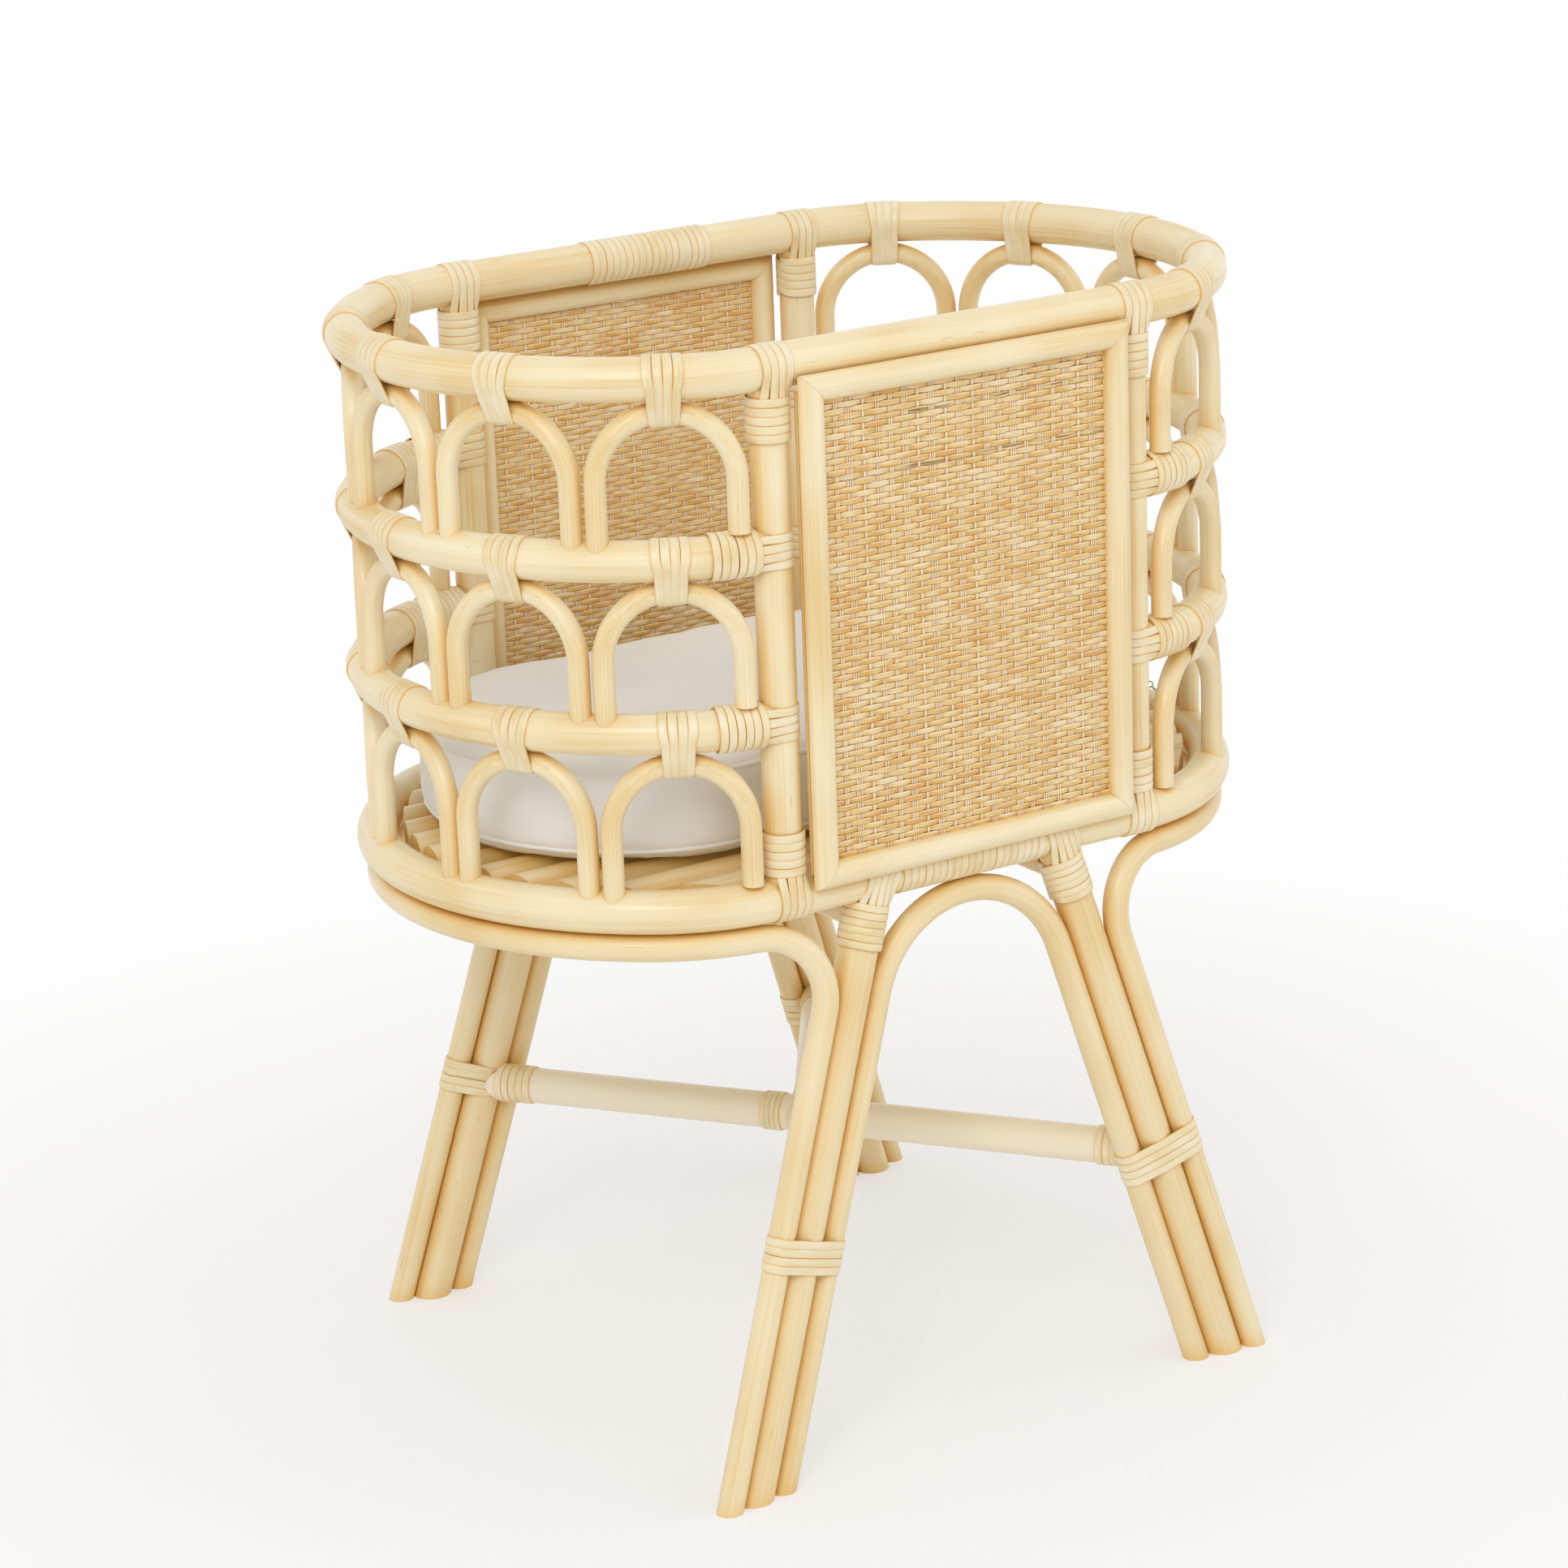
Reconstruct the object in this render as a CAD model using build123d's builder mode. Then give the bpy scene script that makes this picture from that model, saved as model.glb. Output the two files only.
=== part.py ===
from build123d import *

import os
from math import acos, atan2, copysign, cos, degrees, hypot, radians, sin, sqrt, tan

# A rattan bassinet on four splayed legs. Bent poles carry two panels of cane webbing, front and
# back, and three tiers of bent arches round each end. Every joint is screwed and bound with peel.
# X runs along the basket, -Y is its front, Z is up and the floor is at 0. Lengths in millimetres.

# Pole diameters
rail_d = 32.0  # the two closed rails, top and bottom
mid_rail_d = 30.0  # the rails between them, round the ends only
post_d = 28.0
leg_d = 30.0
flank_d = 20.0  # the thinner poles bound to both sides of each leg
arch_d = 16.0
stretcher_d = 29.0
slat_d = 30.0
bearer_d = 24.0

# Plan of the rails' centreline: a straight front and back, and three tangent arcs round each end
half_straight = 158.0  # also where the posts stand
half_width = 217.0
half_length = 341.0
end_swing = 52.45  # degrees that the middle arc of an end turns to each side of the X axis

base_z = 451.0  # height of the bottom rail's centreline

# Legs, given by where the axis of the middle pole meets the bottom rail and the floor
leg_top_x = 82.0
foot_x = 222.0
foot_y = 242.0
outer_flank_turn = 16.0  # degrees that the outer flank stands forward of the leg
stretcher_z = 178.0
foot_trim = 30.0  # length cut off each foot to leave it flat on the floor

# Arches, in three tiers round each end. The rails above stand on them
arch_count = 5
arch_rise_bottom = 101.9  # from the rail below to the outside of the apex
arch_rise_middle = 96.4
arch_rise_top = 98.4
arch_gap = 2.0  # between neighbouring arches
arch_post_gap = 27.0  # from the outermost leg's axis along the rail to the post's
arch_inset = 3.0  # from the rail's centreline towards the inside
arch_hole = 12.0  # depth of the holes for the feet, below the rail's crown

# Panels
moulding_w = 20.0  # half-round cane
webbing_t = 1.5
frame_lap = 6.0  # the outer frame stops this far short of the rails' centrelines
webbing_inset = 1.5  # from the outer frame's edge

# Base and mattress
slat_count = 12
slat_pitch = 33.0
slat_end_gap = 4.0
mattress_t = 80.0
mattress_side_gap = 23.5  # to the rail, if it lay in the middle
mattress_end_gap = 12.0
mattress_back = 12.0  # it lies this far towards the back
mattress_edge = 14.0
mattress_gap = 0.3

# Bindings of peel
peel = 1.4
tie_w = 26.0  # over a rail, at a post
post_wrap = 32.0
mid_wrap = 35.0  # along a mid rail, beside its post
leg_tie_w = 29.0
leg_wrap = 33.0
arch_tie_w = 28.0
arch_tie_sag = 1.2
leg_band_w = 27.0
stretcher_wrap = 32.0
crossing_wrap = 38.0
top_wrap_from = -46.0
top_wrap_to = 70.0

# Countersunk screws under the bindings
screw_d = 4.0
screw_head_d = 8.0
screw_head_h = 3.0
screw_recess = 1.0
rail_screw = 60.0
mid_screw = 50.0
leg_screw = 66.0

fit = 0.1  # between pieces that are screwed or bound together

post_x = half_straight
lower_z = base_z + rail_d / 2 + arch_rise_bottom + fit + mid_rail_d / 2
upper_z = lower_z + mid_rail_d / 2 + arch_rise_middle + fit + mid_rail_d / 2
top_z = upper_z + mid_rail_d / 2 + arch_rise_top + fit + rail_d / 2


def bow(width, length):
    """A corner arc's radius and how far off axis it is centred, then the end arc's radius and centre."""
    ease = tan(radians(end_swing) / 2)
    corner = (length - half_straight - width * ease) / (1 - ease)
    end = corner + (width - corner) / sin(radians(end_swing))
    return corner, width - corner, end, length - end


corner_r, corner_y, end_r, end_x = bow(half_width, half_length)


def bowed_end(side=1, width=half_width, length=half_length, inset=0.0):
    """Three tangent arcs from the front round the right end to the back, or for side -1 the reverse."""
    corner, drop, end, x = bow(width, length)
    turn = 0 if side > 0 else 180
    rest = 90 - end_swing
    CenterArc((side * half_straight, -side * drop), corner - inset, turn - 90, rest)
    CenterArc((side * x, 0), end - inset, turn - end_swing, 2 * end_swing)
    CenterArc((side * half_straight, side * drop), corner - inset, turn + end_swing, rest)


def oval(width=half_width, length=half_length, inset=0.0):
    """The closed plan that has a bowed end at each side."""
    bowed_end(1, width, length, inset)
    Line((half_straight, width - inset), (-half_straight, width - inset))
    bowed_end(-1, width, length, inset)
    Line((-half_straight, inset - width), (half_straight, inset - width))


def pole(path, diameter):
    """A round pole along the path."""
    with BuildSketch(Plane(origin=path.line @ 0, z_dir=path.line % 0)) as section:
        Circle(diameter / 2)
    sweep(section.sketch)


def wound(path, diameter):
    """The outside of peel wound round a pole of this diameter, which is cut out of it afterwards."""
    pole(path, diameter + 2 * peel)


def screw(length, recess=0.0, clearance=0.0):
    """A countersunk screw down from the origin, or the hole for one."""
    head = screw_head_d / 2 + clearance
    shank = screw_d / 2 + clearance
    with BuildPart() as made:
        with BuildSketch(Plane.XZ):
            with BuildLine():
                Polyline(
                    (0, 0),
                    (head, 0),
                    (shank, -screw_head_h),
                    (shank, -length - clearance),
                    (0, -length - clearance),
                    close=True,
                )
            make_face()
        revolve(axis=Axis.Z)
        if recess:
            with BuildSketch():
                Circle(head)
            extrude(amount=recess)
    return made.part


rail_screw_hole = screw(rail_screw, rail_d / 2, fit)
mid_screw_hole = screw(mid_screw, rail_d / 2, fit)
leg_screw_hole = screw(leg_screw, rail_d / 2, fit)


def drill(places, hole):
    """Screw holes at these places, into the piece being made."""
    with Locations(*places):
        add(hole, mode=Mode.SUBTRACT)


def cut_out(*pieces):
    """Takes these pieces' shapes out of the piece being made."""
    for piece in pieces:
        add(piece.part, mode=Mode.SUBTRACT)


# --- Where the screws go, all driven before the bindings cover them ---

splay = Plane(
    origin=(0, -foot_y, 0), x_dir=(1, 0, 0), z_dir=(0, -base_z, foot_y - half_width)
)
slope = hypot(base_z, foot_y - half_width)  # up the splayed plane, floor to rail
foot = Vector(foot_x, -foot_y, 0)
leg_axis = (Vector(leg_top_x, -half_width, base_z) - foot).normalized()
leg_run = (Vector(leg_top_x, -half_width, base_z) - foot).length
leg_frame = Plane(origin=foot, x_dir=(1, 0, 0), z_dir=leg_axis)


def along_leg(z):
    """How far up the front right leg the height z is reached."""
    return z / leg_axis.Z


def four_places(place):
    """A place and its mirror images in the other three quarters."""
    planes = []
    for x in (1, -1):
        for y in (1, -1):
            origin = Vector(place.origin.X * x, place.origin.Y * y, place.origin.Z)
            facing = Vector(place.z_dir.X * x, place.z_dir.Y * y, place.z_dir.Z)
            planes.append(Plane(origin=origin, z_dir=facing))
    return planes


head_depth = rail_d / 2 - screw_recess
top_screws = four_places(Plane(origin=(post_x, -half_width, top_z + head_depth)))
foot_screws = four_places(
    Plane(origin=(post_x, -half_width, base_z - head_depth), z_dir=(0, 0, -1))
)
mid_screws = [
    place
    for z in (upper_z, lower_z)
    for place in four_places(
        Plane(
            origin=(post_x - post_d / 2 + screw_recess, -half_width, z), z_dir=(-1, 0, 0)
        )
    )
]
leg_screws = four_places(
    Plane(
        origin=leg_frame.from_local_coords((0, 0, leg_run + head_depth)), z_dir=leg_axis
    )
)

rail_screw_part, mid_screw_part, leg_screw_part = map(screw, (rail_screw, mid_screw, leg_screw))
with BuildPart() as joint_screws:
    with Locations(*top_screws, *foot_screws):
        add(rail_screw_part)
    with Locations(*mid_screws):
        add(mid_screw_part)
    with Locations(*leg_screws):
        add(leg_screw_part)


# --- Arches ---


along_end = end_r * radians(end_swing)
along_corner = corner_r * radians(90 - end_swing)
feet_run = 2 * (along_end + along_corner - arch_post_gap)
arch_span = (feet_run - (arch_count - 1) * (arch_d + arch_gap)) / arch_count
arch_pitch = arch_span + arch_d + arch_gap


def station(s):
    """A plane on the right end's centreline, s round from its middle: x along it, y up, z outwards."""
    if abs(s) <= along_end:
        turn = s / end_r
        centre = Vector(end_x, 0)
        radius = end_r
    else:
        turn = copysign(radians(end_swing) + (abs(s) - along_end) / corner_r, s)
        centre = Vector(half_straight, copysign(corner_y, s))
        radius = corner_r
    out = Vector(cos(turn), sin(turn))
    return Plane(origin=centre + out * radius, x_dir=(-out.Y, out.X, 0), z_dir=out)


arch_stations = [
    station((i - (arch_count - 1) / 2) * arch_pitch) for i in range(arch_count)
]


def arch_tier(crown, rise, outer_rise):
    """Five arches: their feet stand in holes, but the outermost two on the rail beside the posts."""
    spring = crown + rise - arch_d / 2 - arch_span / 2
    half = arch_span / 2
    with BuildPart() as tier:
        for i, place in enumerate(arch_stations):
            first = crown + outer_rise if i == 0 else crown - arch_hole + fit
            last = crown + outer_rise if i == arch_count - 1 else crown - arch_hole + fit
            with BuildLine(place.offset(-arch_inset)) as bend:
                Line((-half, first), (-half, spring))
                CenterArc((0, spring), half, 180, -180)
                Line((half, spring), (half, last))
            pole(bend, arch_d)
    return tier


def arch_feet(crown):
    """Where the holes for the feet go in the right end of a rail."""
    feet = []
    for i, place in enumerate(arch_stations):
        for side in (-1, 1):
            if (i, side) not in ((0, -1), (arch_count - 1, 1)):
                spot = place.from_local_coords((side * arch_span / 2, 0, -arch_inset))
                feet.append((spot.X, spot.Y, crown))
    return feet


arches_top_right = arch_tier(upper_z + mid_rail_d / 2, arch_rise_top, peel + fit)
arches_middle_right = arch_tier(lower_z + mid_rail_d / 2, arch_rise_middle, peel + fit)
arches_bottom_right = arch_tier(base_z + rail_d / 2, arch_rise_bottom, fit)


# --- Rails and posts ---

# A blank is a pole bent and coped but not drilled. Bindings are cut to fit the blanks.


def closed_rail(z):
    """The blank of a rail that runs right round the basket."""
    with BuildPart() as blank:
        with BuildLine(Plane.XY.offset(z)) as loop:
            oval()
        pole(loop, rail_d)
    return blank


top_blank = closed_rail(top_z)
base_blank = closed_rail(base_z)

with BuildPart() as top_rail:
    add(top_blank.part)
    drill(top_screws, rail_screw_hole)

with BuildPart() as bottom_rail:
    add(base_blank.part)
    feet = arch_feet(base_z + rail_d / 2)
    with Locations(*feet, *[(-x, y, z) for x, y, z in feet]):
        Hole(arch_d / 2 + fit, depth=arch_hole)
    drill(foot_screws, rail_screw_hole)
    drill(leg_screws, leg_screw_hole)


# The front right post, both ends coped to sit on the rails
with BuildPart() as post_blank:
    with BuildLine() as axis:
        Line((post_x, -half_width, base_z), (post_x, -half_width, top_z))
    pole(axis, post_d)
    cut_out(top_blank, base_blank)

with BuildPart() as post_front_right:
    add(post_blank.part)
    drill(top_screws + foot_screws, rail_screw_hole)
    drill(mid_screws, mid_screw_hole)
with BuildPart() as post_front_left:
    mirror(post_front_right.part, about=Plane.YZ)
with BuildPart() as post_back_right:
    mirror(post_front_right.part, about=Plane.XZ)
with BuildPart() as post_back_left:
    mirror(post_front_left.part, about=Plane.XZ)


def mid_blank(z):
    """The blank of a rail round the right end, its ends fishmouthed to fit the posts."""
    with BuildPart() as blank:
        with BuildLine(Plane.XY.offset(z)) as bend:
            bowed_end()
        pole(bend, mid_rail_d)
        cut_out(post_blank)
        add(post_blank.part.mirror(Plane.XZ), mode=Mode.SUBTRACT)
    return blank


def mid_rail(blank, z):
    """A mid rail drilled for its screws and for the feet of the arches on it."""
    with BuildPart() as made:
        add(blank.part)
        with Locations(*arch_feet(z + mid_rail_d / 2)):
            Hole(arch_d / 2 + fit, depth=arch_hole)
        drill(mid_screws, mid_screw_hole)
    return made


upper_blank = mid_blank(upper_z)
lower_blank = mid_blank(lower_z)
upper_mid_rail_right = mid_rail(upper_blank, upper_z)
lower_mid_rail_right = mid_rail(lower_blank, lower_z)


# --- Legs ---

abreast = (leg_d + flank_d) / 2 + fit
under_rail = (rail_d + flank_d) / 2 + peel + fit  # they touch the peel wound on the rail
lean = atan2(foot_x - leg_top_x, slope)

# Each leg is coped under the bottom rail and sawn level at the floor
with BuildPart() as leg_blank:
    with BuildLine() as axis:
        Line(foot - leg_axis * foot_trim, foot + leg_axis * leg_run)
    pole(axis, leg_d)
    split(bisect_by=Plane.XY, keep=Keep.TOP)
    cut_out(base_blank)
with BuildPart() as leg_front_right:
    add(leg_blank.part)
    drill(leg_screws, leg_screw_hole)
with BuildPart() as leg_front_left:
    mirror(leg_front_right.part, about=Plane.YZ)
with BuildPart() as leg_back_right:
    mirror(leg_front_right.part, about=Plane.XZ)
with BuildPart() as leg_back_left:
    mirror(leg_front_left.part, about=Plane.XZ)

# The leg arch runs up the inside of one leg, round under the rail and down the other
arch_top = slope - under_rail
arch_foot = foot_x - abreast / cos(lean)
leg_arch_r = (arch_foot * cos(lean) - arch_top * sin(lean)) / (1 - sin(lean))
leg_arch_v = arch_top - leg_arch_r

with BuildPart() as leg_arch_front:
    with BuildLine(splay) as bend:
        spring_u = leg_arch_r * cos(lean)
        spring_v = leg_arch_v + leg_arch_r * sin(lean)
        low_u = arch_foot + foot_trim * tan(lean)
        Line((low_u, -foot_trim), (spring_u, spring_v))
        CenterArc((0, leg_arch_v), leg_arch_r, degrees(lean), 180 - 2 * degrees(lean))
        Line((-spring_u, spring_v), (-low_u, -foot_trim))
    pole(bend, flank_d)
    split(bisect_by=Plane.XY, keep=Keep.TOP)
with BuildPart() as leg_arch_back:
    mirror(leg_arch_front.part, about=Plane.XZ)

# The end brace runs up the outside of the front leg, bends out, follows the bottom rail's
# underside round the end on a tangent to its corner, and goes down the back leg
flank_out = abreast * cos(radians(outer_flank_turn))
flank_forward = -abreast * sin(radians(outer_flank_turn))
flank_low = leg_frame.from_local_coords((flank_out, flank_forward, 0))
flank_low -= leg_axis * ((flank_low.Z + foot_trim) / leg_axis.Z)
brace_z = base_z - under_rail
brace_corner = flank_low + leg_axis * ((brace_z - flank_low.Z) / leg_axis.Z)
from_centre = Vector(brace_corner.X - half_straight, brace_corner.Y + corner_y)
brace_run = sqrt(from_centre.length**2 - corner_r**2)
brace_meets = degrees(
    atan2(from_centre.Y, from_centre.X) + acos(corner_r / from_centre.length)
)
brace_touch = Vector(
    half_straight + corner_r * cos(radians(brace_meets)),
    -corner_y + corner_r * sin(radians(brace_meets)),
    brace_z,
)
brace_leaves = brace_corner - leg_axis * brace_run

with BuildPart() as end_brace_right:
    with BuildLine() as bend:
        Line(flank_low, brace_leaves)
        TangentArc(brace_leaves, brace_touch, tangent=leg_axis)
        CenterArc(
            (half_straight, -corner_y, brace_z),
            corner_r,
            brace_meets,
            -end_swing - brace_meets,
        )
        CenterArc((end_x, 0, brace_z), end_r, -end_swing, end_swing)
        mirror(about=Plane.XZ)
    pole(bend, flank_d)
    split(bisect_by=Plane.XY, keep=Keep.TOP)
with BuildPart() as end_brace_left:
    mirror(end_brace_right.part, about=Plane.YZ)


# --- Bindings at the posts, the mid rails and the tops of the legs ---


def quarters(piece):
    """A front right binding and its mirror images, as a group of four solids."""
    with BuildPart() as group:
        add(piece.part)
        mirror(group.part, about=Plane.YZ)
        mirror(group.part, about=Plane.XZ)
    return group


def post_tie(rail_z, reach, rail_blank):
    """Peel over a closed rail at a post, and round the post as far as reach."""
    with BuildPart() as tie:
        with BuildLine() as over:
            Line(
                (post_x - tie_w / 2, -half_width, rail_z),
                (post_x + tie_w / 2, -half_width, rail_z),
            )
        wound(over, rail_d)
        with BuildLine() as down:
            Line((post_x, -half_width, rail_z), (post_x, -half_width, rail_z + reach))
        wound(down, post_d)
        cut_out(rail_blank, post_blank)
    return tie


post_top_bindings = quarters(post_tie(top_z, -rail_d / 2 - post_wrap, top_blank))
post_foot_bindings = quarters(post_tie(base_z, rail_d / 2 + post_wrap, base_blank))


def mid_tie(rail_z, rail_blank):
    """Peel round a post and along the mid rail that meets it."""
    with BuildPart() as tie:
        with BuildLine(Plane.XY.offset(rail_z)) as along:
            CenterArc(
                (half_straight, -corner_y),
                corner_r,
                -90,
                degrees((post_d / 2 + mid_wrap) / corner_r),
            )
        wound(along, mid_rail_d)
        with BuildLine() as around:
            Line(
                (post_x, -half_width, rail_z - tie_w / 2),
                (post_x, -half_width, rail_z + tie_w / 2),
            )
        wound(around, post_d)
        cut_out(rail_blank, post_blank)
    return tie


upper_mid_bindings = quarters(mid_tie(upper_z, upper_blank))
lower_mid_bindings = quarters(mid_tie(lower_z, lower_blank))

with BuildPart() as leg_tie:
    with BuildLine() as over:
        Line(
            (leg_top_x - leg_tie_w / 2, -half_width, base_z),
            (leg_top_x + leg_tie_w / 2, -half_width, base_z),
        )
    wound(over, rail_d)
    with BuildLine() as down:
        Line(
            foot + leg_axis * leg_run,
            foot + leg_axis * (leg_run - rail_d / 2 - leg_wrap),
        )
    wound(down, leg_d)
    cut_out(base_blank, leg_blank)
leg_top_bindings = quarters(leg_tie)


def bundle(width):
    """Peel stretched round a leg and its two flanks, at the height of the stretchers, filled in."""
    with BuildPart() as made:
        with BuildSketch(leg_frame.offset(along_leg(stretcher_z))):
            Circle(leg_d / 2 + peel)
            with Locations((-abreast, 0), (flank_out, flank_forward)):
                Circle(flank_d / 2 + peel)
            make_hull()
        extrude(amount=width / 2, both=True)
    return made


bound = bundle(leg_band_w)
with BuildPart() as leg_band:
    add(bound.part)
    cut_out(leg_front_right, leg_arch_front, end_brace_right)
leg_bands = quarters(leg_band)


# --- Peel round each arch's apex and the rail over it ---


def arch_ties(rail_z, rail_dia, rail_blank, tier):
    """Five ties on the right end, each round a rail and the arch under it."""
    drop = rail_dia / 2 + arch_d / 2 + fit + arch_tie_sag
    with BuildPart() as ties:
        for place in arch_stations:
            across = Plane(
                origin=(place.origin.X, place.origin.Y, rail_z),
                x_dir=place.z_dir,
                z_dir=-place.x_dir,
            )
            with BuildSketch(across):
                Circle(rail_dia / 2 + peel)
                with Locations((-arch_inset, -drop)):
                    Circle(arch_d / 2 + peel)
                make_hull()
            extrude(amount=arch_tie_w / 2, both=True)
        cut_out(rail_blank, tier)
    return ties


arch_bindings_top_right = arch_ties(top_z, rail_d, top_blank, arches_top_right)
arch_bindings_middle_right = arch_ties(
    upper_z, mid_rail_d, upper_blank, arches_middle_right
)
arch_bindings_bottom_right = arch_ties(
    lower_z, mid_rail_d, lower_blank, arches_bottom_right
)


# --- Stretchers: one whole pole corner to corner, and two halves that meet it in the middle ---

front_right = foot + leg_axis * along_leg(stretcher_z)
middle = Vector(0, 0, stretcher_z)
toward = (front_right - middle).normalized()
across_run = (front_right - middle).length
bundles = quarters(bundle(2 * stretcher_d))


def in_quarter(point, x, y):
    """A point of the front right quarter moved to the quarter that x and y tell."""
    return Vector(point.X * x, point.Y * y, point.Z)


def stretcher(start, end, *met):
    """A stretcher between two points, coped to the bound legs and to what else it meets."""
    with BuildPart() as made:
        with BuildLine() as axis:
            Line(start, end)
        pole(axis, stretcher_d)
        cut_out(bundles, *met)
    return made


stretcher_long = stretcher(in_quarter(front_right, -1, -1), front_right)
stretcher_short_front = stretcher(in_quarter(front_right, -1, 1), middle, stretcher_long)
stretcher_short_back = stretcher(in_quarter(front_right, 1, -1), middle, stretcher_long)

with BuildPart() as end_wrap:
    with BuildLine() as along:
        Line(
            middle + toward * (across_run - leg_d / 2 - stretcher_wrap),
            middle + toward * across_run,
        )
    wound(along, stretcher_d)
    cut_out(bundles, stretcher_long)
stretcher_end_bindings = quarters(end_wrap)

with BuildPart() as crossing_binding:
    for x, y in ((1, 1), (-1, 1)):
        reach = in_quarter(toward, x, y) * crossing_wrap
        with BuildLine() as along:
            Line(middle - reach, middle + reach)
        wound(along, stretcher_d)
    cut_out(stretcher_long, stretcher_short_front, stretcher_short_back)


# --- Peel wound along the bottom rail between the legs and on the back of the top rail ---

wrap_end = leg_top_x - leg_tie_w / 2 - fit
with BuildPart() as bottom_rail_wraps:
    with BuildLine() as along:
        Line((-wrap_end, -half_width, base_z), (wrap_end, -half_width, base_z))
    wound(along, rail_d)
    cut_out(base_blank)
    mirror(bottom_rail_wraps.part, about=Plane.XZ)

with BuildPart() as top_rail_wrap:
    with BuildLine() as along:
        Line((top_wrap_from, half_width, top_z), (top_wrap_to, half_width, top_z))
    wound(along, rail_d)
    cut_out(top_blank)


# --- Panels: webbing stretched on the rails, under a mitred half-round frame on each face ---

web_half_x = post_x - post_d / 2 - fit - webbing_inset
web_low = base_z + frame_lap + webbing_inset
web_high = top_z - frame_lap - webbing_inset
web_y = (
    half_width + sqrt((rail_d / 2 + peel) ** 2 - (frame_lap + webbing_inset) ** 2) + fit
)

with BuildPart() as webbing_front:
    with BuildSketch(Plane.XZ.offset(web_y)):
        with Locations((0, (web_low + web_high) / 2)):
            Rectangle(2 * web_half_x, web_high - web_low)
    extrude(amount=webbing_t)
with BuildPart() as webbing_back:
    mirror(webbing_front.part, about=Plane.XZ)


def moulding(length):
    """A length of half-round on the XY plane, mitred at both ends, its long edge on the X axis."""
    with BuildPart() as made:
        with BuildSketch():
            with BuildLine():
                Polyline(
                    (-length / 2, 0),
                    (length / 2, 0),
                    (length / 2 - moulding_w, moulding_w),
                    (moulding_w - length / 2, moulding_w),
                    close=True,
                )
            make_face()
        extrude(amount=moulding_w / 2)
        with BuildSketch(Plane.YZ):
            with Locations((moulding_w / 2, 0)):
                Circle(moulding_w / 2)
        extrude(amount=length / 2, both=True, mode=Mode.INTERSECT)
    return made.part


def panel_frame(face, width, low, high):
    """Four mitred mouldings laid on the plane face round an opening, its y axis up."""
    middle_v = (low + high) / 2
    rail = moulding(width - 2 * fit)
    stile = moulding(high - low - 2 * fit)
    with BuildPart() as made:
        with Locations(face * Location((0, low, 0)), face * Location((0, high, 0), (0, 0, 180))):
            add(rail)
        with Locations(
            face * Location((-width / 2, middle_v, 0), (0, 0, -90)),
            face * Location((width / 2, middle_v, 0), (0, 0, 90)),
        ):
            add(stile)
    return made


frame_width = 2 * (post_x - post_d / 2 - fit)
outward = Plane(origin=(0, -web_y - webbing_t, 0), x_dir=(1, 0, 0), z_dir=(0, -1, 0))
inward = Plane(origin=(0, -web_y, 0), x_dir=(-1, 0, 0), z_dir=(0, 1, 0))
inner_low = base_z + rail_d / 2 + peel + fit
inner_high = top_z - rail_d / 2 - peel - fit

outer_frame_front = panel_frame(outward, frame_width, base_z + frame_lap, top_z - frame_lap)
with BuildPart() as outer_frame_back:
    mirror(outer_frame_front.part, about=Plane.XZ)
inner_frame_front = panel_frame(inward, frame_width, inner_low, inner_high)
with BuildPart() as inner_frame_back:
    mirror(inner_frame_front.part, about=Plane.XZ)


# --- Base: two bearers from leg to leg, and slats across them sawn to the line of the rail ---

bearer_z = base_z - (rail_d + bearer_d) / 2 - fit
bearer_x = leg_top_x + (foot_x - leg_top_x) * (base_z - bearer_z) / base_z
slat_z = bearer_z + (bearer_d + slat_d) / 2 + fit

with BuildPart() as bound_leg:
    with BuildLine() as axis:
        Line(foot, foot + leg_axis * leg_run)
    wound(axis, leg_d)
bound_legs = quarters(bound_leg)

with BuildPart() as base_bearers:
    with BuildLine() as axis:
        Line((bearer_x, -half_width, bearer_z), (bearer_x, half_width, bearer_z))
    pole(axis, bearer_d)
    cut_out(bound_legs)
    mirror(base_bearers.part, about=Plane.YZ)

with BuildPart() as base_slats:
    with BuildSketch(Plane.YZ.offset(-half_length)):
        with Locations((0, slat_z)):
            with GridLocations(slat_pitch, 0, slat_count, 1):
                Circle(slat_d / 2)
    extrude(amount=2 * half_length)
    with BuildSketch(Plane.XY.offset(slat_z - slat_d)):
        with BuildLine():
            oval(inset=rail_d / 2 + slat_end_gap)
        make_face()
    extrude(amount=2 * slat_d, mode=Mode.INTERSECT)


# --- Mattress ---

mattress_z = slat_z + slat_d / 2 + mattress_gap
with BuildPart() as mattress:
    with BuildSketch(Plane(origin=(0, mattress_back, mattress_z))):
        with BuildLine():
            oval(
                half_width - rail_d / 2 - mattress_side_gap,
                half_length - rail_d / 2 - mattress_end_gap,
            )
        make_face()
    extrude(amount=mattress_t)
    fillet(mattress.edges().group_by(Axis.Z)[0], mattress_edge)
    fillet(mattress.edges().group_by(Axis.Z)[-1], mattress_edge)


# --- The left end mirrors the right ---


def mirrored(piece):
    """A right-hand piece turned into the left-hand one."""
    with BuildPart() as made:
        mirror(piece.part, about=Plane.YZ)
    return made


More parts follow.
